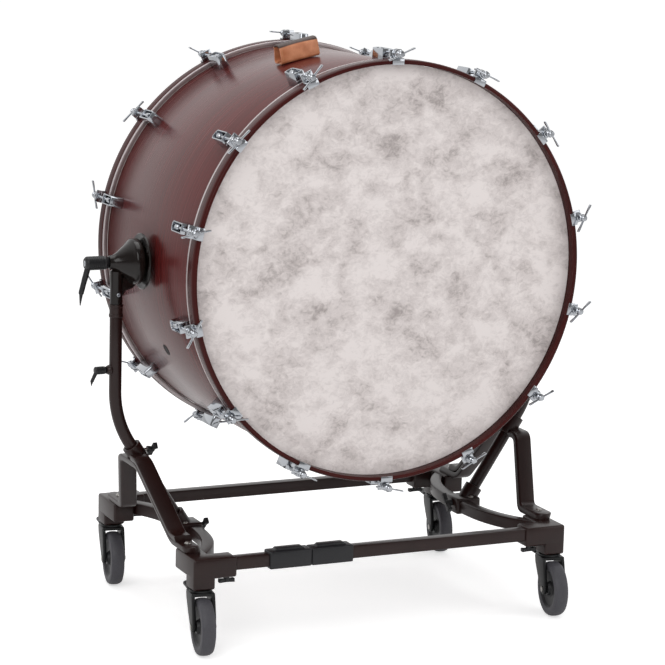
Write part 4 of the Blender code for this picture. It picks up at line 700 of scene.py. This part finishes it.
def ribbed_hub(radius, length, ribs):
    """A hub turned with a row of shallow grooves."""
    profile = [(0, length), (radius * 0.72, length), (radius * 0.92, length - radius * 0.16)]
    pitch = length * 0.72 / ribs
    for rib in range(ribs):
        top = length * 0.90 - rib * pitch
        profile += [(radius, top), (radius, top - pitch * 0.55), (radius * 0.93, top - pitch * 0.62),
                    (radius * 0.93, top - pitch * 0.93)]
    profile += [(radius * 0.96, length * 0.15), (radius * 0.80, length * 0.03),
                (radius * 0.72, 0.0003), (0, 0.0003)]
    return turned(profile, 40)


def swept_arm(drop, start, radius):
    """The arm of a lever: it leaves the hub outward, bends and runs down to a rounded end."""
    line = rounded_line([(0, start - radius * 0.6), (-drop * 0.10, start),
                         (-drop * 0.42, start + radius * 1.2),
                         (-drop * 0.70, start + radius * 2.2), (-drop, start + radius * 2.5)],
                        drop * 0.4, 6)
    places = stations_along([Vector((0, along, out)) for along, out in line], (1, 0, 0))
    total = len(places) - 1
    shaped = []
    for index, place in enumerate(places):
        share = index / total
        fat = 1.1 - 0.2 * share
        if share > 0.86:
            fat *= math.sqrt(max(0.04, 1 - ((share - 0.86) / 0.14) ** 2))
        shaped.append(place @ Matrix.Diagonal((fat, fat * 0.92, 1, 1)))
    return swept([(radius * math.cos(t * math.tau / 20), radius * math.sin(t * math.tau / 20))
                  for t in range(20)], shaped)


def lever_turn(sign):
    """Turns a lever's +Z outward along X and its -Y down."""
    return Matrix(((0, 0, sign), (sign, 0, 0), (0, 1, 0))).to_4x4()


tilt_hub = ribbed_hub(0.0155, 0.055, 9)
tilt_arm = swept_arm(0.093, 0.0475, 0.0068)
tilt_cap = turned([(0, 0.0562), (0.0050, 0.0560), (0.0064, 0.0552), (0.0064, 0.0540), (0, 0.0540)], 32)
stud = turned([(0, 0.002), (0.004, 0.002), (0.004, -0.0098), (0, -0.0098)], 24)
for side, outward, sign in SIDES:
    place = Matrix.Translation((sign * (BELL_TIP + 0.0003), 0, TILT_AXIS)) @ lever_turn(sign)
    assembled(f"{side}_tilt_handle", [(tilt_hub, place), (tilt_arm, place)], nylon,
              f"{side}_tilt_lever", [f"{side}_tilt_lever"])
    assembled(f"{side}_tilt_stud", [(tilt_cap, place), (stud, place)], chrome_plate,
              f"{side}_tilt_lever", [f"{side}_tilt_lever"])

# The uprights: bent round tube, straight down from its collar and then leaning in to the side
# bar. The collar has two lips, and a boss takes the height lever.
TUBE = 0.014
LEAN = math.radians(33)
FOOT_X, FOOT_Z = 0.354, 0.188
BEND = 0.225
bend_x = STEM_X - BEND * (1 - math.cos(LEAN))
bend_z = FOOT_Z + (bend_x - FOOT_X) / math.tan(LEAN)
bend_top = bend_z + BEND * math.sin(LEAN)
LEVER_Z = 0.5715
tube_line = [Vector((STEM_X, 0, COLLAR_TOP - 0.001)), Vector((STEM_X, 0, 0.62))]
for step in range(13):
    turn = LEAN * step / 12
    tube_line.append(Vector((STEM_X - BEND * (1 - math.cos(turn)), 0,
                             bend_top - BEND * math.sin(turn))))
tube_line.append(Vector((FOOT_X, 0, FOOT_Z)))
circle = [(TUBE * math.cos(t * math.tau / 48), TUBE * math.sin(t * math.tau / 48)) for t in range(48)]
tube = swept(circle, stations_along(tube_line, (0, 1, 0)))
bmesh.ops.bevel(tube, geom=[e for e in tube.edges if e.calc_face_angle(0) > 1.2], offset=0.001,
                segments=2, affect="EDGES", profile=0.5, material=-1)
collar = turned([
    (0.0114, COLLAR_TOP), (0.0150, COLLAR_TOP), (0.0160, COLLAR_TOP - 0.0010),
    (0.0160, COLLAR_TOP - 0.0060), (0.0148, COLLAR_TOP - 0.0070), (0.0148, COLLAR_TOP - 0.0210),
    (0.0160, COLLAR_TOP - 0.0220), (0.0160, COLLAR_TOP - 0.0280), (0.0150, COLLAR_TOP - 0.0290),
    (0.0114, COLLAR_TOP - 0.0290)], 64, ring=True)
boss = turned([(0.0045, STEM_X + TUBE + 0.007), (0.0084, STEM_X + TUBE + 0.007),
               (0.0094, STEM_X + TUBE + 0.0062), (0.0118, STEM_X + TUBE), (0.0120, STEM_X + 0.0115),
               (0.0045, STEM_X + 0.0115)], 40, ring=True)
height_hub = ribbed_hub(0.009, 0.028, 5)
height_arm = swept_arm(0.034, 0.0235, 0.0045)
for side, outward, sign in SIDES:
    flip = Matrix.Identity(4) if sign > 0 else Matrix.Rotation(math.pi, 4, "Z")
    boss_place = flip @ Matrix.Translation((0, 0, LEVER_Z)) @ Matrix.Rotation(math.pi / 2, 4, "Y")
    assembled(f"{side}_tube", [(tube, flip), (boss, boss_place),
                               (collar, Matrix.Translation((sign * STEM_X, 0, 0)))],
              bronze, "stand", [f"{side}_upright"])
    place = Matrix.Translation((sign * (STEM_X + TUBE + 0.0073), 0, LEVER_Z)) @ lever_turn(sign)
    assembled(f"{side}_height_handle", [(height_hub, place), (height_arm, place)], nylon,
              f"{side}_height_lever", [f"{side}_height_lever"])

# The side frames: a square tube bowed in toward the drum, welded into a cast corner block at each
# end, and a flat strap that rises from both blocks to carry the upright. A second strap doubles
# one leg.
BAR = 0.028
BAR_TOP = 0.205
BAR_MIDDLE = BAR_TOP - BAR / 2
BAR_Y = 0.294
BLOCK_OUTER_X = 0.456
BLOCK_OUTER_Y = 0.314
BLOCK_TOP = 0.2085
BLOCK_BOTTOM = 0.164
BOSS_BOTTOM = 0.140
STRAP = 0.016
DOUBLER = 0.015
STRAP_BAR_WIDTH = 0.040
FRAME_TOP_Z = 0.368
foot_z = BLOCK_TOP + STRAP / 2 - 0.0018
top_z = FRAME_TOP_Z - STRAP / 2
lean = (0.478 - 0.436) / (top_z - (BLOCK_TOP + STRAP / 2))
leaning = Matrix.Identity(4)
leaning[0][2] = lean
leaning[0][3] = 0.436 - lean * (BLOCK_TOP + STRAP / 2)

bow_line = []
for step in range(25):
    y = 0.262 * (2 * step / 24 - 1)
    bow_line.append(Vector((0.344 + 0.088 * abs(y / 0.262) ** 3, y, BAR_MIDDLE)))
bowed = swept(rounded_box_section(BAR, BAR, 0.0035), stations_along(bow_line, (0, 0, 1)))
FOOT_ROUND = STRAP_BAR_WIDTH / 2
strap_path = rounded_line([(-0.240, foot_z), (-0.163, foot_z), (-0.054, top_z), (0.054, top_z),
                           (0.163, foot_z), (0.240, foot_z)], 0.030, 6)
strap_places = stations_along([Vector((0, y, z)) for y, z in strap_path], (1, 0, 0))
foot_first, foot_last = strap_places[0], strap_places[-1]
for share in (0.30, 0.55, 0.75, 0.90, 0.98):
    narrow = Matrix.Diagonal((math.sqrt(1 - share ** 2), 1, 1, 1))
    reach = Vector((0, FOOT_ROUND * share, 0))
    strap_places.insert(0, Matrix.Translation(-reach) @ foot_first @ narrow)
    strap_places.append(Matrix.Translation(reach) @ foot_last @ narrow)
leg_strap = swept(rounded_box_section(STRAP_BAR_WIDTH, STRAP, 0.004), strap_places)
offset = (STRAP + DOUBLER) / 2 - 0.0015
steep = math.atan2(top_z - foot_z, 0.163 - 0.054)
shift = offset * math.tan(steep / 2)
doubler_path = rounded_line([(0.030, top_z + offset), (0.054 + shift, top_z + offset),
                             (0.163 + shift, foot_z + offset), (0.204, foot_z + offset)], 0.030, 6)
doubler = swept(rounded_box_section(STRAP_BAR_WIDTH, DOUBLER, 0.004),
                stations_along([Vector((0, y, z)) for y, z in doubler_path], (1, 0, 0)))


def on_tube(height):
    """The place on the right tube's leaning part at a height, +Z along it."""
    x = FOOT_X + (height - FOOT_Z) * math.tan(LEAN)
    return Matrix.Translation((x, 0, height)) @ Matrix.Rotation(LEAN, 4, "Y")


clamp_ring = softened(turned([(0.0142, 0.024), (0.021, 0.024), (0.021, -0.024), (0.0142, -0.024)],
                             56, ring=True), 0.0018, 3)
low_ring = softened(turned([(0.0142, 0.022), (0.021, 0.022), (0.021, -0.022), (0.0142, -0.022)],
                           56, ring=True), 0.0018, 3)
clamp_block = block((0.324, -0.030, BAR_TOP - BAR - 0.004), (0.386, 0.030, BAR_TOP + 0.006), 0.005, 3)
frame_shapes = [(bowed, Matrix.Identity(4)), (leg_strap, leaning), (doubler, leaning),
                (clamp_ring, on_tube(0.376)), (low_ring, on_tube(0.214)),
                (clamp_block, Matrix.Identity(4))]
for end in (-1, 1):
    mirror = Matrix.Scale(end, 4, (0, 1, 0))
    casting = plate([(0.356, 0.264), (0.406, 0.264), (0.406, 0.198), (BLOCK_OUTER_X, 0.198),
                     (BLOCK_OUTER_X, BLOCK_OUTER_Y), (0.356, BLOCK_OUTER_Y)],
                    BLOCK_TOP - BLOCK_BOTTOM, 0.005, 3)
    bmesh.ops.translate(casting, vec=(0, 0, (BLOCK_TOP + BLOCK_BOTTOM) / 2), verts=casting.verts)
    caster_boss = block((0.406, 0.2641, BOSS_BOTTOM),
                        (BLOCK_OUTER_X - 0.0001, BLOCK_OUTER_Y - 0.0001, BLOCK_TOP - 0.006), 0.005, 3)
    frame_shapes += [(casting, mirror), (caster_boss, mirror)]
bolt = softened(turned([(0, 0.0045), (0.0052, 0.0045), (0.0075, 0.0022), (0.0078, 0),
                        (0, 0)], 32), 0.0004, 1)
socket = turned([(0, 0.0052), (0.0026, 0.0052), (0.0026, 0.0040), (0, 0.0040)], 6)
zinc = plated_finish("bright_zinc_screw", "#A9A6A2", 0.28)
for side, outward, sign in SIDES:
    flip = Matrix.Identity(4) if sign > 0 else Matrix.Rotation(math.pi, 4, "Z")
    assembled(f"{side}_welded_frame", [(shape, flip @ place) for shape, place in frame_shapes],
              bronze, "stand", [f"{side}_side_frame"])
    heads = []
    for y in (-0.222, 0.222):
        seat = foot_z + STRAP / 2 - 0.0003
        heads.append((bolt, flip @ Matrix.Translation((0.436, y, seat))))
        heads.append((socket, flip @ Matrix.Translation((0.436, y, seat))))
    for y in (-0.020, 0.020):
        seat = Matrix.Translation((0.364, y, BAR_TOP + 0.0058))
        heads.append((bolt, flip @ seat @ Matrix.Scale(0.8, 4)))
    assembled(f"{side}_frame_bolts", heads, [zinc], "stand",
              [f"{side}_side_frame"])

# The cross bars: square tubes that slide into the corner blocks, front and rear. Two moulded
# sleeves sit end to end on the front one.
cross_bar = swept(rounded_box_section(BAR, BAR, 0.003),
                  stations_along([Vector((-0.440, 0, 0)), Vector((0, 0, 0)), Vector((0.440, 0, 0))],
                                 (0, 0, 1)))
for end, sign in (("front", -1), ("rear", 1)):
    assembled(f"{end}_square_tube", [(cross_bar, Matrix.Translation((0, sign * BAR_Y, BAR_MIDDLE)))],
              bronze, "stand", [f"{end}_cross_bar"])
SLEEVE = BAR / 2 + 0.0053
sleeve_black = moulded_finish("black_moulded_polypropylene", "#1E1E21", 0.40, 420.0)
for side, sign in (("left", -1), ("right", 1)):
    low, high = sorted((sign * 0.0003, sign * 0.0998))
    cover = block((low, -SLEEVE, -SLEEVE), (high, SLEEVE, SLEEVE), 0.0035, 3)
    ridge = plate([(low + 0.012, SLEEVE - 0.001), (low + 0.020, SLEEVE + 0.0058),
                   (high - 0.020, SLEEVE + 0.0058), (high - 0.012, SLEEVE - 0.001)], 0.020, 0.0014)
    place = Matrix.Translation((-0.178, -BAR_Y, BAR_MIDDLE))
    assembled(f"{side}_grip_cover", [(cover, place),
                                     (ridge, place @ Matrix.Rotation(math.pi / 2, 4, "X"))],
              sleeve_black, "stand", [f"{side}_bar_sleeve"])

# The clamp knobs and wing screws: moulded bow-tie grips on steel screws. Two knobs on each side
# hold the upright, and a wing screw under each corner block locks its cross bar.
UPPER_KNOB_Z = 0.384
LOWER_KNOB_Z = 0.197


def knob_parts(span, flare, waist, thickness, hub_radius, hub_length):
    """The bow-tie grip and the hub of a knob about Z."""
    half = [(0, waist / 2), (span * 0.20, waist / 2 * 1.1), (span * 0.40, flare / 2 * 0.92),
            (span * 0.47, flare / 2), (span * 0.5, flare / 2 * 0.8)]
    outline = half + [(x, -y) for x, y in reversed(half[1:])]
    outline += [(-x, -y) for x, y in half] + [(-x, y) for x, y in reversed(half[1:])]
    grip = plate(outline, thickness, 0.0016, 3)
    bmesh.ops.translate(grip, vec=(0, 0, hub_length), verts=grip.verts)
    hub = turned([(0, hub_length + thickness / 2), (hub_radius * 0.8, hub_length + thickness * 0.3),
                  (hub_radius * 0.9, hub_length * 0.5), (hub_radius, 0.001),
                  (hub_radius * 0.95, 0.0002), (0, 0.0002)], 32)
    return grip, hub


def tube_inner(height):
    """X of the leaning tube's inner side at a height."""
    return FOOT_X + (height - FOOT_Z) * math.tan(LEAN) - TUBE / math.cos(LEAN)


upper_face = tube_inner(UPPER_KNOB_Z - 0.008) - 0.007 / math.cos(LEAN) - 0.0003
grip, hub = knob_parts(0.048, 0.015, 0.008, 0.010, 0.008, 0.013)
for label, face, height, turn in (("upper", upper_face, UPPER_KNOB_Z, 58),
                                  ("lower", 0.3237, LOWER_KNOB_Z, 50)):
    length = tube_inner(height - 0.004) - face - 0.0003
    screw = turned([(0, 0.001), (0.0038, 0.001), (0.0038, -length), (0, -length)], 20)
    for side, outward, sign in SIDES:
        place = (Matrix.Translation((sign * face, 0, height))
                 @ Matrix.Rotation(-sign * math.pi / 2, 4, "Y")
                 @ Matrix.Rotation(math.radians(turn), 4, "Z"))
        body = f"{side}_{label}_clamp_knob"
        assembled(f"{side}_{label}_grip", [(grip, place), (hub, place)], nylon, body,
                  [body])
        assembled(f"{side}_{label}_screw", [(screw, place)], zinc, body, [body])
small_grip, small_hub = knob_parts(0.036, 0.0125, 0.0070, 0.0080, 0.0070, 0.0104)
screw = turned([(0, 0.001), (0.0038, 0.001), (0.0038, -0.0125), (0, -0.0125)], 20)
for end, sy in (("front", -1), ("rear", 1)):
    for side, sx in (("left", -1), ("right", 1)):
        body = f"{end}_{side}_wing_screw"
        place = (Matrix.Translation((sx * 0.373, sy * BAR_Y, BLOCK_BOTTOM - 0.0003))
                 @ Matrix.Rotation(math.pi, 4, "X"))
        assembled(f"{end}_{side}_wing", [(small_grip, place), (small_hub, place)], nylon,
                  body, [body])
        assembled(f"{end}_{side}_wing_shank", [(screw, place)], zinc, body, [body])

# The casters: swivel forks of dark grey pressed steel, a foot pedal on the leading side, and
# wheels with a grey rubber tread on a dark moulded centre.
HEADING = math.radians(8)
TRAIL = 0.030
WHEEL = 0.0625
FORK_TOP = BOSS_BOTTOM - 0.0003
CROWN = 0.1285
CHEEK_IN = 0.0185
CHEEK = 0.008
PEDAL_PIVOT = 0.0335
PEDAL_Z = CROWN + 0.001
fork_grey = moulded_finish("dark_grey_caster_paint", "#0F1011", 0.42, 500.0)
tread_grey = moulded_finish("grey_tread_rubber", "#454449", 0.50, 300.0)
centre_grey = moulded_finish("dark_wheel_centre", "#1F1F21", 0.42, 400.0)
tread = turned([
    (0.0440, 0.0145), (0.0480, 0.0158), (0.0540, 0.0160), (0.0585, 0.0146), (0.0610, 0.0110),
    (0.0622, 0.0060), (WHEEL, 0), (0.0622, -0.0060), (0.0610, -0.0110), (0.0585, -0.0146),
    (0.0540, -0.0160), (0.0480, -0.0158), (0.0440, -0.0145)], 96, ring=True)
centre = turned([
    (0.0446, 0.0140), (0.0430, 0.0130), (0.0390, 0.0090), (0.0300, 0.0074), (0.0190, 0.0076),
    (0.0158, 0.0100), (0.0140, 0.0160), (0.0100, 0.0168), (0.0054, 0.0168), (0.0054, -0.0168),
    (0.0100, -0.0168), (0.0140, -0.0160), (0.0158, -0.0100), (0.0190, -0.0076),
    (0.0300, -0.0074), (0.0390, -0.0090), (0.0430, -0.0130), (0.0446, -0.0140)], 96, ring=True)
swivel = turned([
    (0, 0.1675), (0.0052, 0.1675), (0.0055, 0.167), (0.0055, FORK_TOP), (0.0235, FORK_TOP),
    (0.0252, FORK_TOP - 0.0010), (0.0252, 0.1350), (0.0240, 0.1342), (0.0240, 0.1332),
    (0.0255, 0.1324), (0.0255, CROWN + 0.001), (0.0245, CROWN), (0, CROWN)], 64)
cheek = plate([
    (0.0225, CROWN + 0.006), (0.0240, CROWN - 0.002), (0.0200, CROWN - 0.016),
    (0.0040, 0.0880), (-TRAIL + 0.0155, 0.0640), (-TRAIL + 0.0130, 0.0560),
    (-TRAIL + 0.0060, 0.0510), (-TRAIL - 0.0050, 0.0505), (-TRAIL - 0.0110, 0.0550),
    (-TRAIL - 0.0125, 0.0630), (-TRAIL - 0.0110, 0.0850), (-TRAIL - 0.0010, CROWN - 0.004),
    (-0.0275, CROWN + 0.006)], CHEEK, 0.0024, 3)
cheek_stand = Matrix(((0, 0, 1, 0), (1, 0, 0, 0), (0, 1, 0, 0), (0, 0, 0, 1)))
crown = block((-CHEEK_IN - CHEEK + 0.0003, -0.0285, CROWN - 0.0008),
              (CHEEK_IN + CHEEK - 0.0003, 0.0232, CROWN + 0.0062), 0.002, 3)
axle = softened(turned([(0, 0.0285), (0.0062, 0.0285), (0.0062, 0.0266), (0.0049, 0.0266),
                        (0.0049, -0.0266), (0.0062, -0.0266), (0.0062, -0.0285), (0, -0.0285)],
                       24), 0.0004, 1)
ear = block((0.0142, 0.0180, PEDAL_Z - 0.005), (0.0178, PEDAL_PIVOT + 0.004, PEDAL_Z + 0.005), 0.0012)
pedal = plate([
    (-0.020, 0.0435), (-0.020, 0.0800), (-0.0165, 0.0880), (-0.0100, 0.0918), (0.0100, 0.0918),
    (0.0165, 0.0880), (0.020, 0.0800), (0.020, 0.0435)], 0.006, 0.0016, 3)
pedal_neck = block((-0.0108, PEDAL_PIVOT - 0.003, -0.0023), (0.0108, 0.0470, 0.0023), 0.001)
pedal_rib = block((-0.0150, -0.0011, 0.0024), (0.0150, 0.0011, 0.0036), 0.0004)
for end, sy in (("front", -1), ("rear", 1)):
    for side, sx in (("left", -1), ("right", 1)):
        name = f"{end}_{side}"
        place = (Matrix.Translation((sx * 0.431, sy * 0.289, 0))
                 @ Matrix.Rotation(-HEADING, 4, "Z"))
        cheeks = [(cheek, place @ Matrix.Translation((at * (CHEEK_IN + CHEEK / 2), 0, 0))
                   @ cheek_stand) for at in (-1, 1)]
        ears = [(ear, place @ Matrix.Scale(at, 4, (1, 0, 0))) for at in (-1, 1)]
        assembled(f"{name}_swivel_fork", [(swivel, place), (crown, place), *cheeks, *ears],
                  fork_grey, f"{name}_caster_fork", [f"{name}_caster_fork"])
        hub_place = (place @ Matrix.Translation((0, -TRAIL, WHEEL))
                     @ Matrix.Rotation(math.pi / 2, 4, "Y"))
        assembled(f"{name}_axle_bolt", [(axle, hub_place)], zinc, f"{name}_caster_fork",
                  [f"{name}_caster_fork"])
        assembled(f"{name}_tread", [(tread, hub_place)], tread_grey, f"{name}_wheel",
                  [f"{name}_wheel"])
        assembled(f"{name}_wheel_centre", [(centre, hub_place)], centre_grey, f"{name}_wheel",
                  [f"{name}_wheel"])
        lift_to = Matrix.Translation((0, 0, PEDAL_Z))
        ribs = [(pedal_rib, place @ lift_to @ Matrix.Translation((0, 0.056 + 0.008 * at, 0)))
                for at in range(4)]
        assembled(f"{name}_pedal", [(pedal, place @ lift_to), (pedal_neck, place @ lift_to), *ribs],
                  nylon, f"{name}_brake_pedal", [f"{name}_brake_pedal"])
